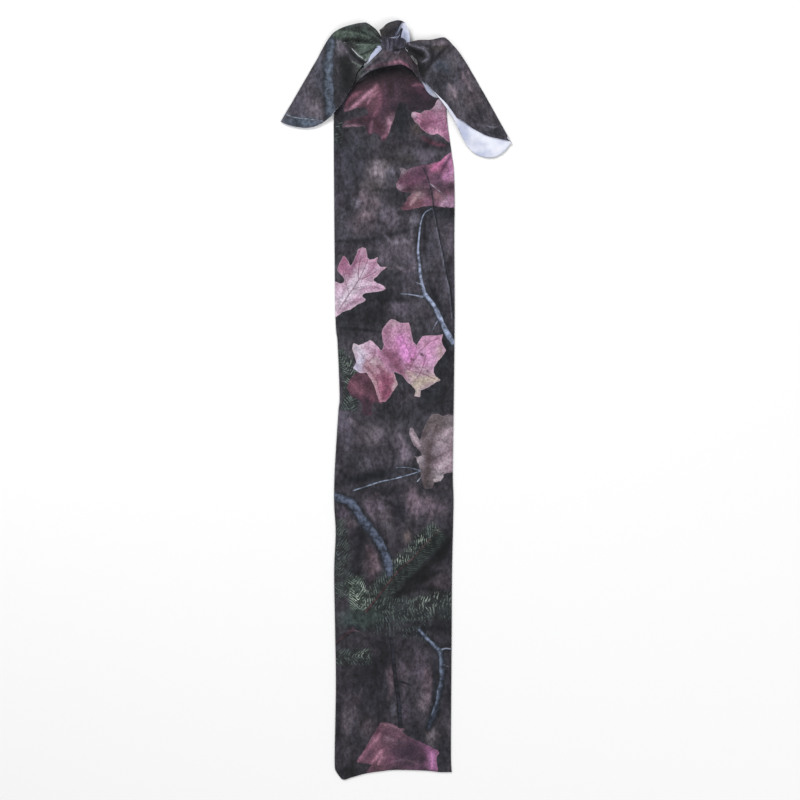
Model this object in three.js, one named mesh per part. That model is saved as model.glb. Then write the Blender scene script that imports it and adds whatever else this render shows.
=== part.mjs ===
// Horse tail bag: a stretch-cloth sleeve closed at the bottom, gathered at the neck
// by two broad tie straps that are knotted in front of the mouth.
// Millimetres. The bag lies flat with its back on z = 0, +Y towards the knot, +X to the
// right as the front is seen, +Z up out of the surface it lies on.
import * as THREE from 'three';

// cloth and clearances
const CLOTH = 1.0; // thickness given to one layer of cloth
const GAP = 0.3; // clearance between neighbouring pieces
const LOFT = 6.7; // free height inside the sleeve under its crown

// sleeve, measured down from the shoulders where it meets the neck
const SHOULDER_Y = 409;
const SLEEVE_LENGTH = 909;
const SLEEVE_WIDTH = 155.8; // between the folded edge and the sewn edge
const SLEEVE_X = -2.4; // centre line
const FOLD_DROP = 509; // the sleeve doubles over this far below the shoulders
const TAPER_DROP = 109; // the right edge starts to draw in this far below the shoulders
const SEAM_WIDTH = 2.7;
const HEM_DEPTH = 3;
const CORNER_DROP = 9; // the sewn corner hangs this far below the rest of the hem

// neck, which narrows from the shoulders to the knot
const NECK_HEIGHT = 55;
const NECK_WIDTH = 39.8;
const NECK_X = -4.4;

// knot and the straps tied in it
const KNOT_RISE = 16; // knot centre above the top of the neck
const KNOT = { x: 1, rx: 14.5, ry: 12.5, rz: 7.6 };
const WRAP_WIDTH = 11;
const WRAP_SPREAD = 2; // half the space between the two wraps
const LOOP = { rx: 19.3, ry: 27.8, height: 4.6, thick: 1.4 };
const ROOT_LENGTH = 5; // a strap's root between the knot and the free end
const STRAP_RISE = 3.5; // a strap leaves the knot this far above where it comes to lie
const DRAPE_LENGTH = 40; // width over which a strap comes down to the table

const group = new THREE.Group();
group.name = 'tail_bag';

const backBottom = 0;
const backTop = backBottom + CLOTH;
const frontBase = backTop + GAP;
const crownTop = frontBase + LOFT + CLOTH;
const strapBase = crownTop + 2 * GAP;
const seamHeight = frontBase + CLOTH + GAP;

const sleeveLeft = SLEEVE_X - SLEEVE_WIDTH / 2;
const sleeveRight = SLEEVE_X + SLEEVE_WIDTH / 2;
const sleeveBottom = SHOULDER_Y - SLEEVE_LENGTH;
const foldY = SHOULDER_Y - FOLD_DROP;
const neckTop = SHOULDER_Y + NECK_HEIGHT;
const knotY = neckTop + KNOT_RISE;
const knotBase = crownTop + GAP;
const knotZ = knotBase + KNOT.rz;
const strapX = KNOT.rx + 2 + ROOT_LENGTH; // where each free end starts, either side of x = 0
const strapLift = strapBase + STRAP_RISE;
const drapeFrom = sleeveRight - 3.5; // a strap lies on the bag as far out as this

const clamp01 = (t) => Math.min(1, Math.max(0, t));
const lerp = (a, b, t) => a + (b - a) * t;
const smooth = (t) => clamp01(t) ** 2 * (3 - 2 * clamp01(t));

// value of a row of stations at t in 0..1, straight between stations
function along(stations, t) {
  const s = clamp01(t) * (stations.length - 1);
  const i = Math.min(Math.floor(s), stations.length - 2);
  const a = stations[i];
  const b = stations[i + 1];
  return a.map((value, k) => lerp(value, b[k], s - i));
}

function addMesh(name, geometry, colour, roughness) {
  const material = new THREE.MeshStandardMaterial({ color: colour, roughness, metalness: 0 });
  const mesh = new THREE.Mesh(geometry, material);
  mesh.name = name;
  group.add(mesh);
}

// splits each quad of a box's underside along the same diagonal as its top, so that layers
// warped alike stay parallel
function matchUnderside(geometry) {
  const index = geometry.index;
  const { start, count } = geometry.groups[5];
  for (let i = start; i < start + count; i += 6) {
    const [a, b, d, c] = [0, 1, 2, 4].map((k) => index.getX(i + k));
    [a, b, c, a, c, d].forEach((vertex, k) => index.setX(i + k, vertex));
  }
}

// one layer of cloth: surface(u, v) gives [x, y, underside z], and the layer is thick mm deep
function addCloth(name, across, lengthwise, surface, thick, colour) {
  const geometry = new THREE.BoxGeometry(1, 1, 1, across, lengthwise, 1);
  matchUnderside(geometry);
  const position = geometry.attributes.position;
  for (let i = 0; i < position.count; i++) {
    const u = position.getX(i) + 0.5;
    const v = position.getY(i) + 0.5;
    const top = position.getZ(i) > 0;
    const [x, y, z] = surface(u, v);
    position.setXYZ(i, x, y, top ? z + thick : z);
  }
  geometry.computeVertexNormals();
  addMesh(name, geometry, colour, 0.85);
}

// sleeve outline, as [y, left x, right x]
const lowerOutline = [0, 16, 40, SLEEVE_LENGTH - FOLD_DROP - GAP / 2].map(
  (rise) => [sleeveBottom + rise, sleeveLeft, sleeveRight],
);

// the neck draws in from the sleeve's edges: [height above the shoulders as a share of the
// neck's, share drawn in on the left, share drawn in on the right]
const neckRows = [
  [0, 0.11, 0.28], [0.2, 0.32, 0.57], [0.5, 0.47, 0.7], [0.76, 0.68, 0.85], [1, 1, 1],
];
const neckOutline = neckRows.map(([rise, drawLeft, drawRight]) => [
  SHOULDER_Y + rise * NECK_HEIGHT,
  lerp(sleeveLeft, NECK_X - NECK_WIDTH / 2, drawLeft),
  lerp(sleeveRight, NECK_X + NECK_WIDTH / 2, drawRight),
]);
const upperOutline = [
  [foldY + GAP / 2, sleeveLeft, sleeveRight],
  [SHOULDER_Y - TAPER_DROP, sleeveLeft, sleeveRight],
  [SHOULDER_Y - TAPER_DROP / 2, sleeveLeft, sleeveRight - 5],
  [SHOULDER_Y - 9, sleeveLeft + 1, sleeveRight - 10],
  ...neckOutline,
];

// x of the neck's edge at height y: side 1 is the left edge, side 2 the right
function neckEdge(y, side) {
  const next = neckOutline.findIndex((row) => row[0] >= y);
  const i = Math.max(1, next < 0 ? neckOutline.length - 1 : next);
  const [low, high] = [neckOutline[i - 1], neckOutline[i]];
  return lerp(low[side], high[side], (y - low[0]) / (high[0] - low[0]));
}

// height of the crown across the sleeve, and how it closes down onto the bottom seam
const crownRows = [[0], [0.62], [0.96], [1], [1], [1], [0.96], [0.62], [0]];
const closing = (y) => smooth((y - sleeveBottom) / 40);

function sleeveSurface(outline, isFront) {
  return (u, v) => {
    const [y, left, right] = along(outline, v);
    const rise = isFront ? LOFT * along(crownRows, u)[0] * closing(y) : 0;
    return [lerp(left, right, u), y, (isFront ? frontBase : backBottom) + rise];
  };
}

const OUTER = 0x4c434a;
const INNER = 0xe8ebf5;
const PINK = 0xb07890;
const lowerRows = lowerOutline.length - 1;
const upperRows = upperOutline.length - 1;
addCloth('sleeve_front_lower', 8, lowerRows, sleeveSurface(lowerOutline, true), CLOTH, OUTER);
addCloth('sleeve_back_lower', 2, lowerRows, sleeveSurface(lowerOutline, false), CLOTH, OUTER);
addCloth('sleeve_front_upper', 8, upperRows, sleeveSurface(upperOutline, true), CLOTH, OUTER);
addCloth('sleeve_back_upper', 2, upperRows, sleeveSurface(upperOutline, false), CLOTH, OUTER);

// sewn edge down the left side: both layers and their overlock stitching
function seamSurface(bottomY, topY) {
  const inner = sleeveLeft - GAP;
  return (u, v) => [lerp(inner - SEAM_WIDTH, inner, u), lerp(bottomY, topY, v), 0];
}
const lowerSeam = seamSurface(sleeveBottom, foldY - GAP / 2);
const upperSeam = seamSurface(foldY + GAP / 2, SHOULDER_Y - 15);
addCloth('side_seam_lower', 1, 1, lowerSeam, seamHeight, 0x3a343c);
addCloth('side_seam_upper', 1, 1, upperSeam, seamHeight, 0x3a343c);

// bottom hem, which drops at the sewn corner; [x, depth]
const hemStations = [
  [sleeveLeft - GAP - SEAM_WIDTH, HEM_DEPTH],
  [sleeveLeft + 7, HEM_DEPTH - 0.5 + CORNER_DROP],
  [sleeveLeft + 20, HEM_DEPTH - 0.5 + CORNER_DROP * 0.8],
  [sleeveLeft + 44, HEM_DEPTH + 0.5],
  [sleeveLeft + 80, HEM_DEPTH - 1.2],
  [sleeveRight - 20, HEM_DEPTH - 0.8],
  [sleeveRight, HEM_DEPTH],
];
function hemSurface(u, v) {
  const [x, depth] = along(hemStations, u);
  return [x, sleeveBottom - GAP - depth * (1 - v), 0];
}
addCloth('bottom_seam', hemStations.length - 1, 1, hemSurface, seamHeight, 0x3a343c);

// collar: the strap roots folded over the front of the neck, from each shoulder to the knot.
// The outer edge keeps just inside the neck's; [outer x, outer y, lip x, lip y]
function collarRow(y, side, inset, lipX, lipY) {
  const x = neckEdge(y, side) + inset;
  return [x, y, x + lipX, y + lipY];
}
const lipX = KNOT.x - 3; // the two lips meet here, below the knot
const lipY = knotY - 26.5;
const collarLeft = [
  collarRow(SHOULDER_Y + 8, 1, 7, 3.5, 2),
  collarRow(SHOULDER_Y + 25, 1, 1.5, 8, -2),
  collarRow(SHOULDER_Y + 41.5, 1, 0.5, 8.5, -9),
  [KNOT.x - 29, knotY - 17, KNOT.x - 20, knotY - 32],
  [KNOT.x - 14, knotY - 9, lipX - GAP, lipY],
];
const collarRight = [
  [KNOT.x + 9.5, knotY - 9.5, lipX + GAP, lipY],
  [KNOT.x + 17, knotY - 19, KNOT.x + 7, knotY - 29],
  collarRow(SHOULDER_Y + 40, 2, -1.5, -7, -3),
  collarRow(SHOULDER_Y + 31, 2, -1.5, -4.5, -1),
  collarRow(SHOULDER_Y + 25, 2, -1.5, -2.5, -0.5),
];
function collarSurface(stations) {
  return (u, v) => {
    const [ox, oy, lx, ly] = along(stations, v);
    return [lerp(ox, lx, u), lerp(oy, ly, u), strapBase + 1.2 * Math.sin(Math.PI * u)];
  };
}
addCloth('collar_left', 3, 4, collarSurface(collarLeft), 2 * CLOTH, 0x5a4a52);
addCloth('collar_right', 3, 4, collarSurface(collarRight), 2 * CLOTH, 0x5a4a52);

// knot: a rounded core with one strap wrapped over it on each side
const knotProfile = [];
for (let i = 0; i <= 8; i++) {
  const angle = (Math.PI * i) / 8;
  const radius = i === 0 || i === 8 ? 0 : Math.sin(angle);
  knotProfile.push(new THREE.Vector2(radius, -Math.cos(angle)));
}
const knotCore = new THREE.LatheGeometry(knotProfile, 16);
knotCore.rotateZ(-Math.PI / 2);
knotCore.scale(KNOT.rx, KNOT.ry, KNOT.rz);
knotCore.translate(KNOT.x, knotY, knotZ);
addMesh('knot_core', knotCore, 0x4b4753, 0.85);

// a strap wrapped over the knot, starting at x0
function addWrap(name, x0) {
  const steps = 10;
  const inner = [];
  const outer = [];
  for (let i = 0; i <= steps; i++) {
    const angle = lerp(0.06, 0.94, i / steps) * Math.PI;
    const ry = KNOT.ry + GAP + 0.2;
    const rz = KNOT.rz + GAP + 0.2;
    inner.push(new THREE.Vector2(ry * Math.cos(angle), rz * Math.sin(angle)));
    outer.push(new THREE.Vector2(
      (ry + 2 * CLOTH) * Math.cos(angle),
      (rz + 2 * CLOTH) * Math.sin(angle),
    ));
  }
  const shape = new THREE.Shape([...outer, ...inner.reverse()]);
  const geometry = new THREE.ExtrudeGeometry(shape, { depth: WRAP_WIDTH, bevelEnabled: false });
  geometry.rotateX(Math.PI / 2);
  geometry.rotateZ(Math.PI / 2);
  geometry.translate(x0, knotY, knotZ);
  addMesh(name, geometry, 0x5b5765, 0.85);
}
addWrap('knot_wrap_left', KNOT.x - WRAP_SPREAD - WRAP_WIDTH);
addWrap('knot_wrap_right', KNOT.x + WRAP_SPREAD);

// loop of cloth that stands out of the knot above the mouth: half an oval, its foot at the knot
const loopBase = knotBase - 1.8;
function loopSurface(u, v) {
  const angle = lerp(Math.PI, 0, v);
  const rx = LOOP.rx - LOOP.thick * u;
  const ry = LOOP.ry - LOOP.thick * u;
  return [KNOT.x - 1.5 + rx * Math.cos(angle), knotY + 3.5 + ry * Math.sin(angle), loopBase];
}
addCloth('mouth_loop', 1, 10, (u, v) => loopSurface(1 - u, 1 - v), LOOP.height, INNER);

// short roots where the tie straps come out of the knot
const rootTip = strapX - GAP;
const rootFoot = KNOT.rx + 2;
function rootSurface(xLow, xHigh, yLow, yHigh) {
  return (u, v) => [lerp(xLow, xHigh, u), lerp(yLow, yHigh, v), strapLift];
}
const strapThick = 2 * CLOTH + GAP;
const leftRoot = rootSurface(-rootTip, KNOT.x - rootFoot, knotY - 5, knotY + 11);
const rightRoot = rootSurface(KNOT.x + rootFoot, rootTip, knotY - 10, knotY + 2);
addCloth('left_tie_root', 1, 1, leftRoot, strapThick, 0x4c5a50);
addCloth('right_tie_root', 1, 1, rightRoot, strapThick, OUTER);

// tie straps, each folded double along its outer edge. The open edge keeps clear of the collar
// beside the neck; [fold x, fold y, open x, open y]
function tieRow(foldX, foldRise, openRise, side, clear) {
  const y = SHOULDER_Y + openRise;
  return [foldX, knotY + foldRise, neckEdge(y, side) + clear, y];
}
const tieStart = strapX + GAP;
const leftTie = [
  [-tieStart, knotY + 11, -tieStart, knotY - 5],
  tieRow(-39, 28, 47, 1, -2.5),
  tieRow(-69, 22, 34, 1, -4.5),
  tieRow(-90.5, 7, 18, 1, -1.5),
  tieRow(-112, -29, 5.5, 1, 4),
  [-133.5, knotY - 67, sleeveLeft + 7, SHOULDER_Y - 9.5],
  [-155, knotY - 105, sleeveLeft - 3, SHOULDER_Y - 21.5],
];
const rightTie = [
  [tieStart, knotY + 2, tieStart, knotY - 10],
  tieRow(42, 4.5, 41, 2, 3),
  tieRow(66, 8.5, 24, 2, 2.5),
  tieRow(85, -11.5, 12.5, 2, 7),
  tieRow(105, -45.5, 0, 2, 1.5),
  [127, knotY - 86, sleeveRight - 4, SHOULDER_Y - 15],
  [152.5, knotY - 130, sleeveRight + 7, SHOULDER_Y - 28.5],
];
// the under layer reaches past the end of the top one
const rightTieUnder = [...rightTie, [155, knotY - 135, sleeveRight + 8.5, SHOULDER_Y - 44]];

// height of a strap's underside: lifted at the knot, lying on the bag, then down on the table
function drape(x) {
  const out = Math.abs(x);
  const down = smooth((out - drapeFrom) / DRAPE_LENGTH);
  const up = 1 - smooth((out - strapX) / 22);
  return lerp(strapBase, GAP, down) + STRAP_RISE * up;
}

// bulge rounds the free end outwards, away from the knot, over the last row
function tieSurface(stations, bulge, layer) {
  return (u, v) => {
    const [fx, fy, ox, oy] = along(stations, v);
    const end = clamp01(v * (stations.length - 1) - (stations.length - 2));
    const x = lerp(ox, fx, u);
    const y = lerp(oy, fy, u) - bulge * end * Math.sin(Math.PI * u);
    return [x, y, drape(x) + layer * (CLOTH + GAP)];
  };
}

// a left strap's fold is on its -X side, so its rows run the other way round
function addTie(name, stations, bulge, layer, colour) {
  const surface = tieSurface(stations, bulge, layer);
  const isLeft = stations[0][0] < 0;
  const lengthwise = 2 * (stations.length - 1);
  addCloth(name, 5, lengthwise, (u, v) => surface(isLeft ? u : 1 - u, v), CLOTH, colour);
}
addTie('left_tie_under_layer', leftTie, 14, 0, OUTER);
addTie('left_tie_top_layer', leftTie, 14, 1, 0x5c6058);
addTie('right_tie_under_layer', rightTieUnder, 20, 0, INNER);
addTie('right_tie_top_layer', rightTie, 0, 1, PINK);

export default group;
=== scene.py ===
"""Horse tail bag in leaf-and-bark printed stretch cloth, laid flat with its ties knotted."""

import math

import bpy
import numpy as np
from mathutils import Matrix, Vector


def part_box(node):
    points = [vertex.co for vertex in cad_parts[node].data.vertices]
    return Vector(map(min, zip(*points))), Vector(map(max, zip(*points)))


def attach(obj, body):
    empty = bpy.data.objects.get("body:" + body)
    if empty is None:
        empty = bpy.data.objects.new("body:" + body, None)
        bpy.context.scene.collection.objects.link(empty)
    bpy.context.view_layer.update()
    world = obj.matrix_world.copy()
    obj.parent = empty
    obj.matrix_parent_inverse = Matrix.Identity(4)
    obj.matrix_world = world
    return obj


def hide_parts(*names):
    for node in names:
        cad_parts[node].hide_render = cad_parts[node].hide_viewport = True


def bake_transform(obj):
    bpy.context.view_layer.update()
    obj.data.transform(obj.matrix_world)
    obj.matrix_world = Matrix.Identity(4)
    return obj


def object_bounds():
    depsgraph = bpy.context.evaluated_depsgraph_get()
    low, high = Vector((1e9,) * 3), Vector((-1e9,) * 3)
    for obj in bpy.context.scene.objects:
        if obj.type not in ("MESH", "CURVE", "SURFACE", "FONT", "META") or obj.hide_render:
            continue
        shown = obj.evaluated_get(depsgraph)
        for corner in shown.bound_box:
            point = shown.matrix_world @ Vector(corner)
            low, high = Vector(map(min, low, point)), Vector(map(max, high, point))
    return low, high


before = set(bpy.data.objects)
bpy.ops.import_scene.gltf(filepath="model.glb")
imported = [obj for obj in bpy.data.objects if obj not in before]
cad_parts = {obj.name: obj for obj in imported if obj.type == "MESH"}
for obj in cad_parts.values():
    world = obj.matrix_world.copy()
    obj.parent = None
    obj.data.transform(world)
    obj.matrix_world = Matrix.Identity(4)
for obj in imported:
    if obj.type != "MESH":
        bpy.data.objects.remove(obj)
bpy.context.view_layer.update()
CAD_BOX = [list(corner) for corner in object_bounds()]

MM = 0.001
CLOTH = 0.6 * MM
VIEW_ASIDE = 5.5 * MM  # how far right of the bag's middle the camera looks

# in millimetres
FRONT_STEP = 1.45  # between the points of the sleeve's front
BACK_STEP = 3.0
FRONT_REST = 1.28  # height of the front's edges
BACK_REST = 0.65
SEAM = {"width": 3.2, "z": 1.0, "thick": 0.25}

LEAF_SHADOW = 0x25262B
TWIG_SHADOW = 0x26292F


# ---------------------------------------------------------------- places taken from the frame
def corners(node):
    low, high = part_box(node)
    return np.array(low), np.array(high)


KNOT = sum(corners("knot_core")) / 2
SLEEVE_LEFT = corners("side_seam_lower")[0][0]
SLEEVE_RIGHT = corners("sleeve_front_lower")[1][0]
SLEEVE_BOTTOM = corners("bottom_seam")[1][1]
NECK_TOP = corners("sleeve_front_upper")[1][1]
CROWN = corners("sleeve_front_upper")[1][2]


# ---------------------------------------------------------------- camera, light and floor
def make_camera():
    low, high = np.array(CAD_BOX[0]), np.array(CAD_BOX[1])
    margin = 1.055  # the picture is this many times as tall as the object is long
    data = bpy.data.cameras.new("camera")
    data.lens = 180
    data.sensor_width = 36
    camera = bpy.data.objects.new("camera", data)
    bpy.context.collection.objects.link(camera)
    height = (high[1] - low[1]) * margin * data.lens / data.sensor_width
    camera.location = (VIEW_ASIDE, 0.0, height)
    camera.rotation_euler = (0, 0, 0)
    data.clip_end = 100
    bpy.context.scene.camera = camera


def make_light(name, location, size, power):
    data = bpy.data.lights.new(name, "AREA")
    data.shape = "DISK"
    data.size = size
    data.energy = power
    light = bpy.data.objects.new(name, data)
    light.location = location
    light.rotation_euler = (-Vector(location)).to_track_quat("-Z", "Y").to_euler()
    bpy.context.collection.objects.link(light)


def make_studio():
    world = bpy.data.worlds.new("studio")
    bpy.context.scene.world = world
    world.use_nodes = True
    background = world.node_tree.nodes["Background"]
    background.inputs["Color"].default_value = (1, 1, 1, 1)
    background.inputs["Strength"].default_value = 0.62
    make_light("key", (-0.9, 1.7, 1.7), 0.9, 30)
    make_light("fill", (1.4, -0.6, 2.2), 1.6, 14)
    floor = bpy.data.meshes.new("floor")
    side = 6
    floor.from_pydata(
        [(-side, -side, 0), (side, -side, 0), (side, side, 0), (-side, side, 0)], [], [(0, 1, 2, 3)]
    )
    stage = bpy.data.objects.new("floor", floor)
    stage.location.z = -0.2 * MM
    bpy.context.collection.objects.link(stage)
    material = bpy.data.materials.new("floor")
    material.use_nodes = True
    shader = material.node_tree.nodes["Principled BSDF"]
    shader.inputs["Base Color"].default_value = (0.96, 0.96, 0.965, 1)
    shader.inputs["Roughness"].default_value = 0.9
    floor.materials.append(material)
    bpy.context.scene.view_settings.view_transform = "Standard"


make_camera()
make_studio()


# ---------------------------------------------------------------- small mathematics
def srgb(code):
    """A colour written as a six-digit hex number, as linear values."""
    value = np.array([(code >> shift & 255) / 255 for shift in (16, 8, 0)])
    return np.where(value <= 0.04045, value / 12.92, ((value + 0.055) / 1.055) ** 2.4)


def smooth(low, high, x):
    t = np.clip((x - low) / (high - low), 0, 1)
    return t * t * (3 - 2 * t)


def curve(points, count):
    """count points evenly along a smooth curve through the given points."""
    p = np.array(points, float)
    if len(p) == 2:
        return p[0] + np.linspace(0, 1, count)[:, None] * (p[1] - p[0])
    p = np.vstack([2 * p[0] - p[1], p, 2 * p[-1] - p[-2]])
    fine = []
    for a, b, c, d in zip(p, p[1:], p[2:], p[3:]):
        t = np.linspace(0, 1, 12, endpoint=False)[:, None]
        fine.append(
            0.5 * (2 * b + (c - a) * t + (2 * a - 5 * b + 4 * c - d) * t**2 + (3 * b - a - 3 * c + d) * t**3)
        )
    fine = np.vstack([*fine, p[-2:-1]])
    length = np.concatenate([[0], np.cumsum(np.linalg.norm(np.diff(fine, axis=0), axis=1))])
    at = np.linspace(0, length[-1], count)
    return np.stack([np.interp(at, length, fine[:, k]) for k in range(fine.shape[1])], 1)


def patch(start, end, left, right, across, along):
    """Grid of points filling four edges: start and end run left to right, left and right run start to end."""
    top, bottom = curve(start, across)[None], curve(end, across)[None]
    west, east = curve(left, along)[:, None], curve(right, along)[:, None]
    u = np.linspace(0, 1, across)[None, :, None]
    v = np.linspace(0, 1, along)[:, None, None]
    straight = (1 - v) * ((1 - u) * top[:, :1] + u * top[:, -1:]) + v * (
        (1 - u) * bottom[:, :1] + u * bottom[:, -1:]
    )
    return (1 - v) * top + v * bottom + (1 - u) * west + u * east - straight


def waves(x, y, seed, size, octaves=3):
    """Smooth seeded noise from -1 to 1, with features of about this size."""
    rng = np.random.default_rng(seed)
    total = np.zeros_like(x)
    for octave in range(octaves):
        for _ in range(5):
            angle, phase = rng.uniform(0, 2 * math.pi, 2)
            k = 2 * math.pi / (size / 1.9**octave) * rng.uniform(0.6, 1.4)
            total += np.sin((x * math.cos(angle) + y * math.sin(angle)) * k + phase) / 1.7**octave
    return total / 5


def near_line(x, y, points):
    """Distance to a line through the points, the signed distance across it and the distance along it."""
    p = np.array(points, float)
    best = np.full(x.shape, 1e9)
    across, along, done = np.zeros_like(best), np.zeros_like(best), 0.0
    for a, b in zip(p, p[1:]):
        d = b - a
        length = np.hypot(*d)
        t = np.clip(((x - a[0]) * d[0] + (y - a[1]) * d[1]) / length**2, 0, 1)
        dx, dy = x - a[0] - t * d[0], y - a[1] - t * d[1]
        distance = np.hypot(dx, dy)
        side = np.sign(d[0] * dy - d[1] * dx)
        closer = distance < best
        best = np.where(closer, distance, best)
        across = np.where(closer, side * distance, across)
        along = np.where(closer, done + t * length, along)
        done += length
    return best, across, along


def inside(x, y, outline):
    """Distance inside a closed outline, negative outside it."""
    p = np.array(outline, float)
    q = np.roll(p, -1, axis=0)
    distance = near_line(x, y, np.vstack([p, p[:1]]))[0]
    odd = np.zeros(x.shape, bool)
    for (ax, ay), (bx, by) in zip(p, q):
        if ay != by:
            odd ^= ((ay > y) != (by > y)) & (x < (bx - ax) * (y - ay) / (by - ay) + ax)
    return np.where(odd, distance, -distance)


# ---------------------------------------------------------------- the print
# Print places are in millimetres: x across from the sleeve's left edge, y down from the neck's top.
class Print:
    """Fields of the printed picture at a piece's points, kept on its mesh as attributes."""

    def __init__(self, points, ground=0x413D44):
        self.x = (points[:, 0] - SLEEVE_LEFT) / MM
        self.y = (NECK_TOP - points[:, 1]) / MM
        count = len(points)
        self.tone = np.tile(srgb(ground), (count, 1))
        self.under = np.full(count, -9.0)
        self.under_colour = np.zeros((count, 3))
        self.over = np.full(count, -9.0)
        self.over_colour = np.zeros((count, 3))
        self.twig = np.full(count, -9.0)
        self.twig_side = np.zeros(count)
        self.twig_colour = np.zeros((count, 3))
        self.vein = np.full(count, 9.0)
        self.needle = np.zeros((count, 3))
        self.glow = np.zeros(count)

    def patches(self, rows):
        for x, y, rx, ry, colour, *more in rows:
            self.patch(x, y, rx, ry, colour, *(more or [0.85]))

    def patch(self, x, y, rx, ry, colour, strength=1.0, turn=0.0):
        """A soft-edged area of another colour."""
        c, s = math.cos(math.radians(turn)), math.sin(math.radians(turn))
        dx, dy = self.x - x, self.y - y
        reach = ((dx * c + dy * s) / rx) ** 2 + ((-dx * s + dy * c) / ry) ** 2
        weight = strength * np.exp(-(reach**1.5) * 0.7)
        self.tone += weight[:, None] * (srgb(colour) - self.tone)

    def streak(self, points, width, colour, strength=0.8, layer="tone"):
        """A soft line of another colour, on the ground or on a layer of leaves."""
        line = curve(points, 6 * len(points))
        low, high = line.min(0) - 3 * width, line.max(0) + 3 * width
        near = (self.x > low[0]) & (self.x < high[0]) & (self.y > low[1]) & (self.y < high[1])
        chosen = np.flatnonzero(near)
        if not len(chosen):
            return
        distance, _, along = near_line(self.x[chosen], self.y[chosen], line)
        length = np.hypot(*np.diff(line, axis=0).T).sum()
        taper = np.sqrt(np.clip(np.minimum(along + width, length - along + width) / (0.35 * length), 0.15, 1))
        weight = strength * np.exp(-((distance / (width * taper)) ** 2))
        target = self.tone if layer == "tone" else getattr(self, layer + "_colour")
        target[chosen] += weight[:, None] * (srgb(colour) - target[chosen])

    def deepen(self, colour, power):
        """More contrast in the ground, either side of a colour."""
        middle = srgb(colour)
        self.tone = middle * (np.maximum(self.tone, 1e-5) / middle) ** power

    def clear(self, x, y, rx, ry):
        """No needles around a place."""
        self.needle[:, 2] *= 1 - np.exp(-((((self.x - x) / rx) ** 2 + ((self.y - y) / ry) ** 2) ** 2))

    def light_up(self, x, y, rx, ry, amount=1.0):
        """Brighter needles around a place."""
        weight = amount * np.exp(-(((self.x - x) / rx) ** 2 + ((self.y - y) / ry) ** 2))
        self.glow = np.maximum(self.glow, weight)

    def spread(self, spots, chosen):
        """Colour at the chosen points, blended between coloured spots."""
        x, y = self.x[chosen], self.y[chosen]
        total, mixed = np.zeros(len(x)), np.zeros((len(x), 3))
        for sx, sy, colour in spots:
            weight = 1 / (((x - sx) ** 2 + (y - sy) ** 2) ** 1.3 + 4)
            total += weight
            mixed += weight[:, None] * srgb(colour)
        return mixed / total[:, None]

    def leaf(self, outline, spots, layer="over", veins=(), shadow=None, fray=0.5, dim=1.0):
        """A leaf with a crisp outline, coloured by spots, with dark veins and a shadow on the ground."""
        p = np.array(outline, float)
        low, high = p.min(0) - 14, p.max(0) + 14
        near = (self.x > low[0]) & (self.x < high[0]) & (self.y > low[1]) & (self.y < high[1])
        chosen = np.flatnonzero(near)
        if not len(chosen):
            return
        x, y = self.x[chosen], self.y[chosen]
        if shadow:
            dx, dy, soft, dark = shadow
            cast = smooth(-soft, soft * 0.6, inside(x - dx, y - dy, p)) * dark
            self.tone[chosen] += cast[:, None] * (srgb(LEAF_SHADOW) - self.tone[chosen])
        depth = inside(x, y, p) + fray * waves(x, y, 3, 9)
        value, colour = getattr(self, layer), getattr(self, layer + "_colour")
        take = depth > -3
        here = chosen[take]
        colour[here] = self.spread(spots, here) * dim
        value[chosen] = np.maximum(value[chosen], depth)
        if layer == "over":
            self.vein[here] = 9
            for line in veins:
                distance = near_line(x[take], y[take], curve(line, 12))[0]
                self.vein[here] = np.minimum(self.vein[here], distance)

    def branch(self, points, start, end, colour, dark=0.0):
        """A branch along the points, its half width going from start to end."""
        line = curve(points, 10 * len(points))
        low, high = line.min(0) - 12, line.max(0) + 12
        near = (self.x > low[0]) & (self.x < high[0]) & (self.y > low[1]) & (self.y < high[1])
        chosen = np.flatnonzero(near)
        if not len(chosen):
            return
        distance, across, along = near_line(self.x[chosen], self.y[chosen], line)
        length = np.hypot(*np.diff(line, axis=0).T).sum()
        half = start + (end - start) * along / length
        half = half * (1 + 0.09 * np.sin(along * 0.21 + 1) + 0.05 * np.sin(along * 0.5))
        if dark:
            cast = smooth(5.5, 0.5, distance - half) * dark
            self.tone[chosen] += cast[:, None] * (srgb(TWIG_SHADOW) - self.tone[chosen])
        depth = half - distance
        wins = depth > self.twig[chosen]
        here = chosen[wins]
        self.twig[here] = depth[wins]
        self.twig_side[here] = (across / np.maximum(half, 0.3))[wins]
        self.twig_colour[here] = srgb(colour)

    def bough(self, points, reach, strength=1.0, ground=0x262D2B, lean=0.5, far_side=1.0):
        """Pine needles standing out either side of a stem along the points, leaning towards its end."""
        line = curve(points, 8 * len(points))
        low, high = line.min(0) - reach - 6, line.max(0) + reach + 6
        near = (self.x > low[0]) & (self.x < high[0]) & (self.y > low[1]) & (self.y < high[1])
        chosen = np.flatnonzero(near)
        if not len(chosen):
            return
        distance, across, along = near_line(self.x[chosen], self.y[chosen], line)
        length = np.hypot(*np.diff(line, axis=0).T).sum()
        level = smooth(reach * 1.05, reach * 0.6, distance) * strength
        level = level * smooth(0, 5, along) * smooth(length, length - 5, along)
        self.tone[chosen] += (0.8 * level)[:, None] * (srgb(ground) - self.tone[chosen])
        level = np.where(across > 0, far_side, 1) * level
        wins = level > self.needle[chosen, 2]
        here = chosen[wins]
        steep, slack = along - lean * distance, along - (lean + 0.45) * distance
        self.needle[here] = np.stack([steep, slack, level], 1)[wins]

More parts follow.
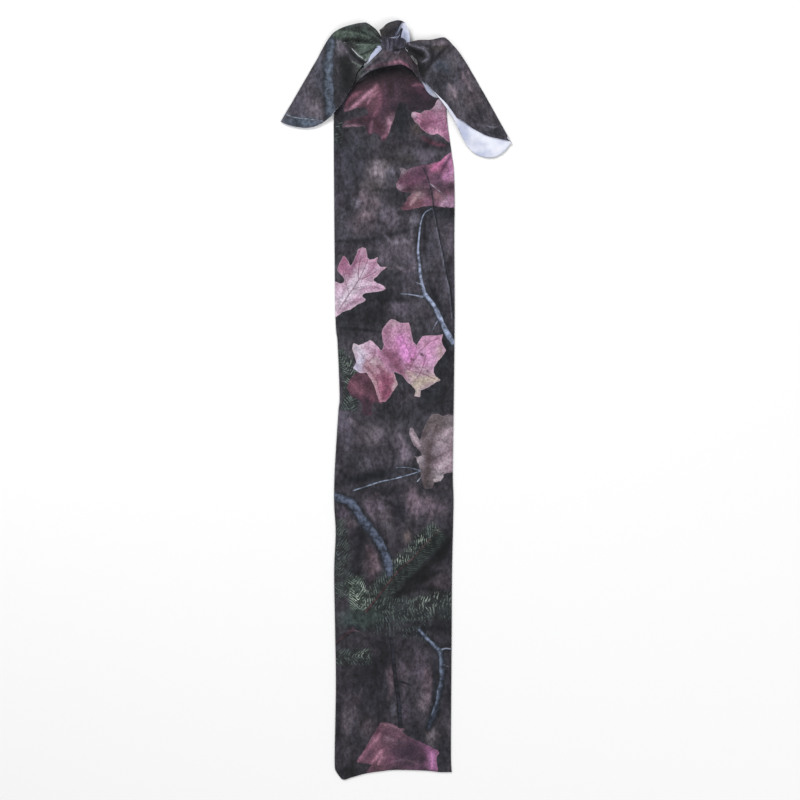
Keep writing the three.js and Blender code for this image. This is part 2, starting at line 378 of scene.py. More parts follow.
    def keep(self, mesh):
        """Store the fields on the mesh's points."""
        fields = {
            "tone": self.tone,
            "under_colour": self.under_colour,
            "over_colour": self.over_colour,
            "twig_colour": self.twig_colour,
            "edges": np.stack([self.under, self.over, self.twig], 1),
            "lines": np.stack([self.twig_side, self.vein, self.glow], 1),
            "needle": self.needle,
        }
        for name, values in fields.items():
            attribute = mesh.attributes.new(name, "FLOAT_VECTOR", "POINT")
            attribute.data.foreach_set("vector", values.astype(np.float32).ravel())


# ---------------------------------------------------------------- places on the print, and a few of painted shade
# Millimetres on the laid-out sleeve: across from its left side, and down, read from the photograph.
# These first tables, down to DEAD_SPOTS, were typed in millimetres.
PINK_OAK = [
    (3, 352), (12, 345), (22, 342), (31, 336), (39, 332), (43, 329), (39, 325), (38, 323),
    (42, 320), (50, 319), (60, 318), (67, 316), (70, 314), (67, 310), (60, 307), (54, 304),
    (53, 301), (58, 297), (63, 291), (70, 286), (74, 284), (68, 285), (62, 284), (58, 280),
    (58, 275), (60, 271), (54, 274), (48, 275), (45, 272), (44, 266), (43, 260), (38, 258),
    (32, 261), (30, 267), (27, 275), (24, 281), (22, 283), (20, 278), (17, 273), (13, 269),
    (9, 275), (5, 284), (4, 289), (7, 293), (11, 297), (14, 302), (13, 306), (9, 307),
    (4, 305), (-6, 303), (-6, 352),
]
PINK_OAK_SPOTS = [
    (4, 335, 0xC7B0BE), (14, 325, 0xCDB6C6), (24, 312, 0xCBB0C2), (16, 305, 0xBD9CAE),
    (34, 300, 0xC6A6B9), (45, 292, 0xC2A0B4), (60, 312, 0xC5A4B8), (44, 314, 0xC9A9BC),
    (60, 288, 0xC0A0B2), (36, 280, 0xAF7F95), (38, 264, 0xB690A3), (50, 279, 0xB98FA5),
    (10, 285, 0x9A6680), (13, 273, 0x8E5C74), (22, 290, 0xA87B92), (32, 332, 0xC8A8BA),
]
PINK_OAK_VEINS = [
    [(4, 347), (14, 331), (24, 316), (33, 303), (41, 286), (46, 274)],
    [(24, 316), (34, 312), (48, 310), (62, 313)],
    [(14, 332), (24, 328), (36, 328)],
    [(33, 302), (46, 297), (58, 290)],
    [(20, 322), (16, 306), (12, 290)],
    [(33, 303), (33, 288), (37, 268)],
]

MAPLE = [
    (77, 355), (82, 356), (89, 360), (96, 360), (101, 360), (103, 367), (105, 378), (107, 386),
    (111, 390), (114, 385), (118, 379), (123, 377), (132, 377), (140, 377), (147, 375),
    (145, 383), (147, 390), (151, 397), (147, 404), (140, 412), (135, 420), (134, 427),
    (138, 433), (144, 437), (138, 440), (131, 444), (125, 448), (117, 451), (116, 460),
    (108, 459), (110, 452), (105, 445), (98, 439), (92, 431), (84, 427), (74, 424), (66, 410),
    (60, 400), (65, 396), (67, 389), (65, 381), (64, 374), (66, 367), (70, 362), (74, 357),
]
MAPLE_SPOTS = [
    (77, 360, 0xB89AA6), (82, 372, 0xBE8FAA), (72, 372, 0xAF7F95), (98, 366, 0xB68A9F),
    (92, 380, 0xC689B0), (95, 398, 0xD08FBE), (104, 400, 0xD596C4), (88, 392, 0xB67C9C),
    (80, 405, 0xA4708A), (84, 418, 0xA6758D), (100, 418, 0xBE8FA8), (116, 402, 0xCF9CC0),
    (124, 388, 0xC793B0), (140, 382, 0xBF93A9), (143, 396, 0xC39DAF), (130, 410, 0xC99BBB),
    (118, 424, 0xB597A5), (112, 438, 0xB3A0A2), (126, 438, 0xB39A9F), (138, 436, 0xB49DA3),
    (112, 452, 0xB5A5A4), (106, 380, 0xB387A0), (120, 414, 0xC48FB0),
]
MAPLE_VEINS = [
    [(101, 424), (104, 408), (98, 392), (84, 362)],
    [(101, 424), (112, 404), (126, 388), (142, 380)],
    [(101, 424), (118, 428), (136, 436)],
    [(101, 424), (88, 408), (74, 396)],
    [(107, 440), (117, 426), (124, 404)],
]

PALE_LEAF = [
    (26, 387), (33, 390), (40, 388), (48, 383), (52, 385), (57, 390), (63, 397), (69, 405),
    (76, 416), (81, 428), (86, 443), (81, 450), (75, 460), (70, 466), (62, 467), (58, 458),
    (54, 445), (49, 435), (43, 427), (35, 428), (25, 421), (30, 413), (27, 403), (24, 395),
]
PALE_LEAF_SPOTS = [
    (28, 392, 0xAFA0A8), (34, 398, 0xB5A3AC), (40, 402, 0xBFA9B8), (30, 420, 0xB4ACC0),
    (36, 412, 0xBFB4C6), (46, 394, 0xBB9DAF), (54, 400, 0xB98FA8), (52, 412, 0xB29CA0),
    (58, 424, 0xA98590), (62, 434, 0x9C6478), (64, 448, 0x9D5E74), (70, 438, 0x96566C),
    (78, 440, 0x8F5468), (82, 444, 0xB79AA0), (72, 456, 0x80485C), (48, 420, 0x98707A),
    (44, 414, 0x96727C), (54, 440, 0xA88088),
]
PALE_LEAF_VEINS = [
    [(34, 400), (46, 412), (58, 428), (68, 446)],
    [(46, 412), (54, 404), (56, 394)],
    [(58, 428), (58, 440), (62, 456)],
]

MAROON_LEAF = [
    (28, 428), (38, 426), (48, 432), (56, 444), (62, 458), (66, 470), (54, 466), (50, 474),
    (52, 484), (44, 486), (37, 481), (39, 472), (34, 464), (22, 458), (17, 447), (20, 438),
]
MAROON_SPOTS = [
    (24, 440, 0x6A4452), (32, 450, 0x84586A), (40, 438, 0x7A5060), (48, 448, 0x5C3C48),
    (44, 470, 0x5A3E4C), (54, 462, 0x7E5262), (30, 434, 0x6C4855), (44, 480, 0x584050),
]

DEAD_LEAF = [
    (102, 501), (106, 502), (111, 510), (115, 518), (117, 514), (119, 506), (123, 497),
    (127, 489), (132, 483), (140, 482), (147, 486), (154, 483), (166, 486), (166, 560),
    (155, 562), (147, 564), (148, 568), (143, 574), (135, 575), (133, 583), (122, 584),
    (118, 572), (116, 562), (114, 552), (110, 543), (108, 540), (113, 540), (119, 539),
    (115, 532), (108, 526), (104, 518), (101, 510),
]
DEAD_SPOTS = [
    (105, 506, 0xA3929A), (110, 518, 0x9A8A90), (113, 524, 0x8E7C84), (120, 510, 0x5B5054),
    (127, 500, 0x6A5E60), (136, 492, 0x75696A), (148, 495, 0x6E6466), (158, 492, 0x82777B),
    (140, 505, 0x837476), (134, 515, 0xA0919A), (146, 520, 0xA8969E), (156, 512, 0xB29DA6),
    (140, 530, 0xA3929C), (150, 534, 0xAE97A3), (160, 530, 0x9F8A92), (126, 520, 0x6B5F60),
    (122, 534, 0x685C5E), (116, 545, 0xA0949A), (130, 545, 0x5C5054), (126, 560, 0x63585A),
    (140, 552, 0xA58E99), (152, 552, 0xA7909B), (158, 545, 0x9E8894), (142, 566, 0xAFA3A8),
    (132, 572, 0x6E6264), (126, 578, 0x4D4548),
]


# From here to the collar's table, and for most of the streaks, branches and boughs further down, the places
# were typed in the photograph's pixels, then scaled to millimetres and written out by another program.
BARK_AND_LIP_SHADE = [
    (5, 93, 14, 40, 0x2A2B30), (14, 59, 11, 19, 0x3F3944), (92, 84, 11, 30, 0x22242A, 0.95),
    (112, 97, 8, 11, 0x4C4445), (22, 127, 27, 16, 0x2D2E34), (15, 161, 24, 54, 0x38373F),
    (58, 157, 11, 14, 0x827880), (68, 147, 8, 7, 0x7A7177), (76, 157, 5, 8, 0x605C66),
    (51, 178, 16, 11, 0x524D50), (39, 192, 12, 11, 0x60565E), (30, 198, 4, 7, 0x706A76),
    (51, 201, 11, 9, 0x5E545B), (42, 219, 11, 9, 0x76686F), (72, 215, 9, 11, 0x625C66),
    (107, 217, 7, 12, 0x625D67), (82, 134, 22, 14, 0x2A282A), (113, 130, 24, 11, 0x4B464E),
    (127, 138, 14, 8, 0x504A54), (81, 194, 11, 11, 0x2A292C), (138, 120, 22, 8, 0x2B2A30),
    (99, 140, 11, 7, 0x3E3B3D), (8, 194, 7, 27, 0x4A464E), (143, 213, 24, 11, 0x24262D, 0.95),
    (80, 224, 12, 12, 0x5F5862), (86, 258, 23, 14, 0x605962), (153, 248, 7, 19, 0x5C555F),
    (15, 242, 14, 16, 0x3E3C43), (89, 340, 14, 12, 0x554F59), (51, 248, 11, 16, 0x46424A),
    (130, 248, 9, 22, 0x3C3A42), (100, 296, 11, 12, 0x443F49), (153, 302, 8, 22, 0x4E4852),
    (82, 302, 11, 11, 0x302F35), (143, 329, 11, 14, 0x3F3C43), (18, 370, 16, 14, 0x25262A),
    (38, 228, 16, 11, 0x5A5159), (62, 278, 16, 7, 0x544D56), (51, 356, 22, 14, 0x232428),
    (130, 359, 14, 9, 0x35343B), (51, 512, 23, 12, 0x605860), (97, 533, 8, 14, 0x5E565F),
    (28, 545, 16, 16, 0x3D3B41), (15, 498, 11, 27, 0x4C4751), (55, 549, 22, 8, 0x46424A),
    (86, 489, 32, 18, 0x25262A), (135, 464, 22, 19, 0x222327), (143, 404, 27, 54, 0x26272B, 0.7),
    (49, 567, 40, 7, 0x21232A, 0.95, -12), (153, 518, 8, 27, 0x302F34), (78, 518, 14, 11, 0x4E4851),
    (55, 606, 11, 9, 0x665C68), (69, 620, 12, 9, 0x585058), (51, 680, 12, 18, 0x62565D),
    (55, 688, 7, 8, 0x6E6067), (12, 616, 8, 8, 0x5C535F), (22, 630, 14, 5, 0x564D53),
    (105, 599, 7, 16, 0x6A5C66), (94, 599, 5, 12, 0x5C545D), (123, 606, 14, 11, 0x665A64),
    (140, 610, 16, 8, 0x564D56), (73, 633, 8, 8, 0x565158), (99, 648, 5, 8, 0x625858),
    (96, 630, 7, 7, 0x524D54), (35, 660, 9, 27, 0x25262D), (89, 613, 8, 16, 0x2D2C35),
    (69, 586, 27, 7, 0x27262B), (143, 660, 19, 22, 0x22252B), (105, 697, 24, 16, 0x24242A),
    (139, 710, 19, 12, 0x50484F), (139, 690, 14, 8, 0x454047), (28, 697, 8, 19, 0x222228),
    (153, 761, 11, 27, 0x2A2B31), (76, 838, 5, 14, 0x66565F), (93, 832, 7, 14, 0x5C535D),
    (126, 842, 8, 16, 0x6E606A), (122, 872, 8, 11, 0x70656E), (113, 822, 11, 19, 0x524B55),
    (24, 876, 7, 12, 0x5C535D), (18, 899, 8, 16, 0x59515A), (32, 867, 5, 8, 0x5E565E),
    (51, 886, 5, 8, 0x5B5660), (80, 880, 4, 8, 0x54525B), (132, 917, 8, 12, 0x686066),
    (96, 886, 5, 11, 0x524B56), (69, 791, 14, 11, 0x3A3940), (15, 930, 8, 11, 0x504B52),
    (153, 899, 7, 22, 0x4B454D), (51, 856, 27, 30, 0x33323A), (35, 917, 14, 16, 0x3B3940),
    (55, 822, 16, 14, 0x26262C), (153, 856, 7, 22, 0x3E3B43), (135, 856, 4, 40, 0x20242D, 0.9),
    # the last patch on the next line, at (82, 23), is painted shade: the dark band under the collar's lip
    (109, 917, 11, 11, 0x33333B), (22, 967, 22, 8, 0x26262A), (82, 23, 46, 11, 0x1B181D, 0.95),
    (143, 961, 8, 7, 0x35343A), (150, 940, 14, 16, 0x34323A),
]
MAROON_OAK = [
    (24, 40), (35, 34), (51, 27), (69, 22), (89, 19), (109, 27), (122, 40), (127, 51), (135, 58),
    (140, 63), (132, 70), (123, 73), (111, 74), (103, 76), (97, 65), (89, 62), (85, 70), (82, 81),
    (80, 88), (76, 97), (73, 108), (69, 115), (65, 116), (62, 108), (54, 104), (46, 107), (43, 100),
    (43, 94), (32, 96), (22, 96), (12, 97), (11, 94), (15, 88), (24, 85), (38, 82), (46, 78),
    (43, 70), (32, 70), (22, 74), (14, 76), (12, 72), (18, 57), (24, 49),
]
MAROON_OAK_SPOTS = [
    (24, 53, 0x5E4450), (20, 65, 0x7C5364), (28, 65, 0x85586A), (24, 72, 0x704A5A),
    (35, 57, 0x8A5D6E), (43, 50, 0x9C6C7E), (51, 55, 0xA4707F), (57, 46, 0x9A6876),
    (61, 59, 0x7E5262), (50, 66, 0x9A6A7C), (43, 43, 0x6A4653), (62, 35, 0x5E424D),
    (76, 38, 0x58404C), (89, 38, 0x54404E), (78, 53, 0x5A4350), (105, 38, 0x634653),
    (117, 43, 0x6A4756), (96, 51, 0x4E3D49), (113, 57, 0x46394A), (130, 61, 0x4C3E4C),
    (105, 69, 0x45394A), (122, 68, 0x50404F), (55, 80, 0x734E5E), (69, 76, 0x604451),
    (51, 89, 0x6B4857), (62, 94, 0x6E4857), (76, 92, 0xB98A9E), (78, 85, 0xB98FA2),
    (70, 105, 0x8E6273), (66, 113, 0x744E5E), (50, 103, 0x7A5465), (43, 101, 0x5C4352),
    (24, 94, 0x6A4756), (15, 96, 0xA08494), (35, 89, 0x563F4B), (15, 73, 0x97697C),
    (81, 70, 0x46394A),
]
PINK_TIP = [
    (138, 61), (143, 55), (151, 57), (153, 65), (155, 76), (161, 93), (161, 109), (155, 117),
    (148, 111), (140, 105), (132, 107), (123, 103), (116, 97), (113, 92), (108, 88), (104, 82),
    (105, 76), (111, 76), (116, 78), (122, 74), (130, 73), (135, 68),
]
PINK_TIP_SPOTS = [
    (146, 61, 0xC5B0BC), (140, 69, 0xB398A6), (151, 66, 0xBCA2B2), (143, 76, 0xA87890),
    (130, 77, 0x96647C), (116, 82, 0x9E6E84), (109, 80, 0xC0A8B6), (108, 85, 0x8E6478),
    (122, 89, 0xA56C86), (130, 86, 0xB27794), (138, 92, 0xBC81A0), (148, 100, 0xB97C9C),
    (153, 111, 0xA8708E), (138, 101, 0xC796AE), (130, 99, 0x9C6480), (123, 97, 0x8E5A74),
    (151, 84, 0xAF7C96), (144, 86, 0xA06C88), (132, 104, 0xBE90A8), (154, 97, 0xB98AA6),
]
PINK_TIP_VEINS = [
    [(153, 84), (138, 89), (122, 89), (111, 82)],
    [(153, 84), (148, 100)],
    [(138, 89), (135, 103)],
]
ROSE_LEAF = [
    (84, 173), (88, 165), (90, 157), (88, 153), (92, 150), (97, 154), (105, 151), (116, 148),
    (127, 147), (135, 144), (143, 142), (151, 134), (162, 127), (173, 127), (173, 205), (143, 204),
    (132, 202), (123, 203), (105, 207), (92, 209), (90, 204), (96, 198), (100, 190), (105, 185),
    (94, 184), (88, 182), (84, 178),
]
ROSE_LEAF_SPOTS = [
    (86, 177, 0xB794A6), (90, 170, 0x6E465A), (100, 162, 0x6F475C), (113, 162, 0x6B475E),
    (92, 153, 0x9A8C96), (105, 173, 0x603E52), (100, 180, 0x503544), (123, 170, 0x5B4153),
    (138, 151, 0xBC7896), (135, 146, 0xAB7089), (150, 138, 0xC8A2B6), (146, 148, 0x72435B),
    (155, 140, 0xB9759E), (159, 151, 0xC489AC), (153, 162, 0xBB76A0), (159, 163, 0xBE90AB),
    (139, 162, 0x624658), (143, 173, 0x594454), (157, 176, 0x544050), (130, 184, 0x56424E),
    (108, 190, 0x9C7880), (113, 186, 0xAB9096), (104, 200, 0x8B5E6A), (96, 205, 0x744C5A),
    (116, 198, 0x80545F), (126, 198, 0x966680), (138, 190, 0x947078), (147, 198, 0xB691A6),
    (139, 200, 0x80586C), (159, 194, 0xAC829C), (159, 202, 0xBF96B2), (154, 202, 0x6E4E62),
    (151, 184, 0x704F5D), (123, 154, 0x583E50), (132, 194, 0x6A4C58),
]
FALLEN_LEAF = [
    (62, 899), (69, 898), (78, 900), (88, 905), (96, 907), (92, 911), (100, 917), (113, 923),
    (127, 930), (139, 936), (142, 940), (139, 944), (138, 950), (140, 961), (138, 972), (89, 975),
    (62, 975), (43, 967), (46, 961), (51, 956), (43, 954), (31, 953), (32, 948), (39, 938),
    (46, 926), (51, 917), (58, 907),
]
FALLEN_LEAF_SPOTS = [
    (59, 914, 0x70485A), (49, 930, 0x825869), (54, 925, 0xA47688), (38, 942, 0x90667A),
    (34, 950, 0x80586A), (46, 940, 0x725062), (61, 944, 0xAE7C8E), (62, 933, 0x845A6C),
    (54, 950, 0x8E6070), (57, 959, 0x5C424A), (76, 950, 0x845A70), (69, 911, 0x624454),
    (84, 917, 0x745262), (73, 921, 0x846472), (89, 926, 0x604A5A), (82, 937, 0x5E4456),
    (103, 934, 0x4A3949), (103, 948, 0x463747), (116, 950, 0x584452), (89, 950, 0x62485A),
    (130, 940, 0xA66C94), (132, 948, 0xB880A6), (136, 957, 0xAE749C), (124, 953, 0x946686),
    (122, 963, 0x5A4452), (82, 963, 0x50404A), (69, 903, 0x84606C), (89, 907, 0x765864),
    (35, 961, 0x34323A), (94, 940, 0x4A3A4A),
]
LEFT_BARK_AND_VALLEY_SHADE = [
    (30, -32, 32, 12, 0x2B332E, 0.95), (46, -8, 20, 12, 0x47514A), (43, 0, 11, 5, 0x66726A),
    (51, -14, 14, 5, 0x525C55), (15, -27, 14, 5, 0x556056), (5, -27, 8, 8, 0x4A564C),
    # the dark patch at (16, 26) on the next line is painted shade in the valley beside the strap's branch
    # band
    (16, 26, 11, 27, 0x1D1F20, 0.95), (11, -11, 7, 8, 0x736B75), (-35, 49, 15, 19, 0x565059),
    (-24, 68, 11, 14, 0x60585F), (-50, 68, 11, 14, 0x4D4853), (5, 54, 7, 19, 0x27272B),
    (-46, 90, 22, 7, 0x4B5561), (-19, 26, 8, 27, 0x4A4C55), (14, 65, 7, 14, 0x332F35),
    (34, 26, 7, 12, 0x4C504E), (22, 39, 7, 11, 0x26262A), (35, -19, 16, 5, 0x232926),
]
RIGHT_BARK_AND_VALLEY_SHADE = [
    (147, -14, 8, 5, 0x6E626C), (139, -11, 12, 5, 0x57524F), (159, 49, 8, 8, 0x6E636A),
    # the dark patches at (116, 19) on the next line and (113, 0) on the one after are painted shade in the
    # strap's fold valleys
    (178, 30, 7, 12, 0x72646D), (144, 14, 12, 8, 0x484D57), (116, 19, 12, 12, 0x1B1C1F, 0.95),
    (113, 0, 11, 7, 0x27272C, 0.95), (186, 57, 11, 16, 0x5C5257), (197, 77, 11, 11, 0x3D3A40),
    (220, 103, 11, 8, 0x2C2B31), (143, 39, 16, 16, 0x3B3A41), (165, 9, 11, 11, 0x504C52),
    (194, 103, 14, 7, 0x37353B), (213, 84, 7, 14, 0x4A464D), (123, -16, 14, 4, 0x45424A),
    (173, 70, 7, 14, 0x4A454B),
]
COLLAR_BARK_AND_HOLE_SHADE = [
    (34, 26, 8, 12, 0x4E5350), (51, 15, 14, 7, 0x534F57), (82, 1, 22, 7, 0x534549),
    (86, 11, 24, 5, 0x6E4856), (86, 9, 5, 2, 0xA8788A), (94, 13, 4, 2, 0x966478),
    (105, 19, 7, 11, 0x3A3034), (30, 39, 7, 8, 0x2E2C30), (68, 7, 11, 5, 0x5A5058),
    # the last patch on the next line, at (85, -9), is painted shade: the dark hole in the knot
    (100, 3, 7, 8, 0x4A3C42), (85, -9, 7, 4, 0x17171C, 0.98),
]


def paint_sleeve(points):
    """The picture on the sleeve's front, with painted shade under the collar's lip."""
    p = Print(points)
    p.patches(BARK_AND_LIP_SHADE)
    p.streak([(3, 250), (49, 248), (89, 238), (116, 230)], 4.1, 0x1F2025, 0.75)
    p.streak([(3, 366), (35, 369), (69, 373)], 1.8, 0x17181C, 0.85)
    p.streak([(143, 215), (153, 275), (159, 329)], 4.1, 0x24252B, 0.6)
    p.streak([(122, 224), (122, 262), (126, 302), (138, 329), (157, 367)], 4.1, 0x1B1D23, 0.85)
    p.streak([(97, 328), (76, 329), (57, 327)], 5.4, 0x1B1C21, 0.8)
    p.streak([(43, 356), (57, 340), (68, 324)], 6.8, 0x1A1B20, 0.7)
    p.streak([(8, 127), (16, 174), (9, 228)], 2.7, 0x4E4B55, 0.4)
    p.streak([(24, 147), (32, 181), (22, 215)], 2.7, 0x25262B, 0.6)
    p.streak([(51, 181), (82, 184), (96, 194)], 3.4, 0x232326, 0.6)
    p.streak([(35, 235), (51, 224), (76, 230)], 2.7, 0x2A2A2F, 0.5)
    p.streak([(15, 278), (9, 309), (5, 329)], 2.7, 0x2A2A30, 0.5)
    p.streak([(78, 278), (94, 289), (109, 286)], 2.7, 0x756C76, 0.45)
    p.streak([(68, 243), (84, 252), (105, 248)], 3.4, 0x77707B, 0.45)
    p.streak([(92, 208), (105, 224), (103, 243)], 2.0, 0x6E6771, 0.5)
    p.streak([(144, 238), (155, 256), (151, 278)], 2.2, 0x6F6872, 0.5)
    p.streak([(127, 278), (138, 292), (143, 316)], 2.7, 0x2A2B31, 0.6)
    p.streak([(5, 467), (11, 491), (8, 532)], 2.7, 0x5C5661, 0.45)
    p.streak([(22, 489), (35, 502), (62, 505)], 4.1, 0x746A73, 0.45)
    p.streak([(24, 526), (42, 535), (65, 526)], 3.4, 0x332F35, 0.6)
    p.streak([(86, 508), (94, 526), (92, 548)], 2.7, 0x70666F, 0.5)
    p.streak([(73, 518), (81, 539), (76, 559)], 2.7, 0x26262B, 0.6)
    p.streak([(8, 559), (24, 570), (51, 564)], 4.1, 0x1D1F26, 0.8)
    p.streak([(59, 589), (46, 603), (54, 626)], 3.4, 0x756873, 0.4)
    p.streak([(68, 599), (86, 610), (94, 629)], 2.7, 0x24242C, 0.6)
    p.streak([(103, 583), (113, 599), (111, 626)], 2.7, 0x7A6A75, 0.45)
    p.streak([(122, 589), (132, 613), (127, 629)], 3.4, 0x6E616B, 0.4)
    p.streak([(143, 586), (157, 599), (155, 624)], 3.4, 0x2D2C32, 0.6)
    p.streak([(30, 606), (38, 647), (24, 694)], 4.1, 0x201F26, 0.7)
    p.streak([(43, 660), (54, 680), (49, 707)], 3.4, 0x7C6771, 0.4)
    p.streak([(66, 701), (59, 721), (51, 734)], 4.1, 0x25262A, 0.5)
    p.streak([(89, 701), (116, 707), (143, 694)], 5.4, 0x1C1D21, 0.7)
    p.streak([(86, 724), (116, 718), (151, 724)], 4.1, 0x1C1F22, 0.7)
    p.streak([(143, 788), (157, 815), (154, 869)], 4.1, 0x2C2B32, 0.5)
    p.streak([(69, 826), (78, 848), (73, 869)], 2.7, 0x70616A, 0.5)
    p.streak([(94, 815), (97, 842), (92, 869)], 2.2, 0x655B65, 0.45)
    p.streak([(108, 802), (116, 829), (108, 856)], 3.4, 0x5E5560, 0.4)
    p.streak([(122, 826), (130, 848), (124, 875)], 3.4, 0x7B6C74, 0.45)
    p.streak([(54, 788), (68, 809), (62, 856)], 5.4, 0x25242A, 0.6)
    p.streak([(22, 856), (14, 886), (19, 917)], 2.7, 0x635962, 0.4)
    p.streak([(38, 853), (30, 876), (32, 899)], 2.7, 0x655B64, 0.4)
    p.streak([(8, 856), (5, 910), (11, 957)], 4.1, 0x2A2930, 0.5)
    p.streak([(43, 886), (54, 899), (51, 917)], 2.7, 0x2C2B31, 0.5)
    p.streak([(103, 886), (111, 907), (105, 926)], 3.4, 0x2B2B32, 0.6)
    p.streak([(143, 899), (151, 917), (146, 930)], 2.7, 0x2A2A2F, 0.5)
    p.patches([
        (112, 290, 14, 30, 0x6A646E, 0.4), (140, 230, 12, 14, 0x5E5862, 0.45),
        (137, 360, 16, 14, 0x5E5862, 0.45),
        (68, 505, 36, 14, 0x605A62, 0.35), (45, 905, 10, 14, 0x64585F, 0.45),
    ])
    p.streak([(95, 776), (120, 771), (150, 773)], 8, 0x1E2024, 0.6)
    p.streak([(74, 736), (100, 713), (130, 686), (152, 655)], 10, 0x17191D, 0.8)
    p.streak([(118, 110), (134, 118), (150, 121)], 3, 0x5A3442, 0.6)
    p.deepen(0x403D44, 1.22)
    p.tone *= (1 - 0.26 * smooth(570, 650, p.y))[:, None]
    p.bough([(2, 86), (1, 104), (0, 120)], 12, 0.7, lean=-0.3)
    p.bough([(19, 481), (24, 444), (15, 417), (0, 397)], 13, 1.0, lean=0.7)
    p.bough([(19, 732), (8, 697), (4, 660), (-1, 624)], 19, 0.75, lean=0.8)
    p.bough([(-5, 811), (22, 810), (53, 809)], 13, 0.8)
    p.bough([(51, 760), (89, 764), (132, 772)], 24, 0.5, 0x24282E, 0.15)
    p.bough([(51, 744), (78, 747), (103, 745), (130, 742), (165, 741)], 21, 0.8, lean=0.1)
    p.bough([
        (43, 749), (59, 729), (77, 706), (90, 691), (105, 678), (124, 657), (144, 637),
    ], 19, 1.0, lean=0.85, far_side=0.4)
    p.bough([(36, 752), (32, 728), (26, 700)], 15, 1.0, 0x36413A, 0.9)
    p.light_up(20, 425, 7, 30, 0.25)
    p.light_up(34, 726, 13, 20, 1.0)
    p.light_up(140, 632, 7, 7, 1.0)
    p.light_up(118, 650, 8, 8, 0.55)
    p.light_up(86, 676, 12, 8, 0.65)
    p.light_up(96, 662, 10, 8, 0.5)
    p.light_up(124, 736, 12, 12, 0.55)
    p.light_up(140, 728, 14, 6, 0.5)
    p.light_up(40, 806, 9, 5, 0.45)
    p.clear(35, 760, 25, 13)
    p.patch(35, 760, 26, 14, 0x3B4744, 0.95)
    p.leaf(MAROON_LEAF, MAROON_SPOTS, "under", dim=0.8)
    p.streak([(22, 439), (30, 448), (38, 454)], 4.1, 0x93606F, 0.6, "under")
    p.streak([(30, 431), (40, 437), (49, 448)], 4.1, 0x4A303C, 0.6, "under")
    p.streak([(43, 464), (46, 475), (43, 483)], 5.4, 0x3A2C36, 0.8, "under")
    p.streak([(51, 437), (57, 454), (58, 467)], 4.1, 0x4A303A, 0.7, "under")
    p.streak([(22, 456), (32, 464), (40, 470)], 3.4, 0x3C2C36, 0.6, "under")
    p.leaf(MAROON_OAK, MAROON_OAK_SPOTS, "under", (), (3, 5, 5, 0.5), 0.8, dim=0.43)
    p.streak([(23, 70), (36, 61), (51, 47)], 3.0, 0xC08CA0, 0.75, "under")
    p.streak([(38, 57), (47, 49), (59, 40)], 2.4, 0xC692A4, 0.6, "under")
    p.streak([(16, 65), (24, 55), (35, 49)], 2.7, 0x9A6476, 0.6, "under")
    p.streak([(45, 65), (50, 55), (58, 49)], 2.2, 0xB98497, 0.6, "under")
    p.streak([(57, 38), (61, 59), (54, 81)], 4.1, 0x8E5E70, 0.6, "under")
    p.streak([(68, 35), (68, 65), (63, 92)], 3.0, 0x50394A, 0.7, "under")
    p.streak([(84, 38), (86, 51), (78, 65)], 5.4, 0x54404E, 0.6, "under")
    p.streak([(103, 38), (116, 46), (127, 57)], 4.1, 0x4A3242, 0.6, "under")
    p.streak([(105, 40), (116, 38), (122, 42)], 2.2, 0x96687A, 0.5, "under")
    p.streak([(73, 86), (77, 96), (74, 103)], 2.7, 0xC294A8, 0.8, "under")
    p.streak([(51, 89), (49, 100), (51, 105)], 2.2, 0x92667A, 0.6, "under")
    p.streak([(15, 96), (24, 94), (40, 96)], 1.4, 0xB08A9A, 0.6, "under")
    p.streak([(62, 111), (69, 108), (73, 97)], 2.4, 0x94687C, 0.6, "under")
    p.streak([(14, 74), (22, 72), (30, 69)], 1.6, 0xA8808F, 0.6, "under")
    # the next two dark streaks are painted shade: the same band under the collar's lip, laid over the maroon
    # leaf's top
    p.streak([
        (20, 48), (34, 36), (52, 28), (72, 23), (90, 22), (108, 26), (118, 34),
    ], 7, 0x1E191E, 0.97, "under")
    p.streak([(18, 50), (34, 40), (52, 32), (72, 28), (90, 27), (108, 31)], 6, 0x2A2026, 0.6, "under")
    p.leaf(ROSE_LEAF, ROSE_LEAF_SPOTS, "under", (), (-3, 7, 5, 0.6), 0.7, dim=0.85)
    p.streak([(132, 154), (139, 148), (151, 136)], 3.2, 0xDC7FAE, 0.8, "under")
    p.streak([(144, 157), (150, 146), (157, 135)], 2.2, 0x5C3450, 0.85, "under")
    p.streak([(155, 154), (159, 143), (161, 135)], 2.7, 0xCE8CB6, 0.6, "under")
    p.streak([(148, 165), (155, 159), (161, 154)], 3.2, 0xDA9CC8, 0.7, "under")
    p.streak([(153, 162), (155, 154), (158, 147)], 1.6, 0x7A4468, 0.6, "under")
    p.streak([(92, 173), (108, 169), (127, 162)], 2.7, 0x7C5068, 0.6, "under")
    p.streak([(92, 181), (111, 181), (130, 181)], 3.4, 0x3C2A34, 0.7, "under")
    p.streak([(94, 189), (89, 198), (92, 202)], 3.4, 0x2A272A, 0.8, "under")
    p.streak([(103, 201), (109, 192), (115, 185)], 2.2, 0xC4A0A6, 0.7, "under")
    p.streak([(101, 189), (100, 197), (97, 205)], 1.6, 0x6A4452, 0.5, "under")
    p.streak([(122, 201), (130, 198), (127, 192)], 2.7, 0xA06E84, 0.5, "under")
    p.streak([(138, 184), (143, 190), (146, 201)], 2.7, 0xA87E88, 0.5, "under")
    p.streak([(157, 173), (148, 181), (140, 176)], 4.1, 0x4A3844, 0.6, "under")
    p.streak([(144, 201), (150, 197), (153, 202)], 2.2, 0xD0A6C2, 0.7, "under")
    p.leaf(FALLEN_LEAF, FALLEN_LEAF_SPOTS, "under", (), (4, 5, 5, 0.4), 0.7, dim=0.82)
    p.streak([(32, 952), (43, 937), (57, 921)], 2.7, 0xA87488, 0.6, "under")
    p.streak([(54, 926), (58, 921), (62, 913)], 2.2, 0xB98598, 0.6, "under")
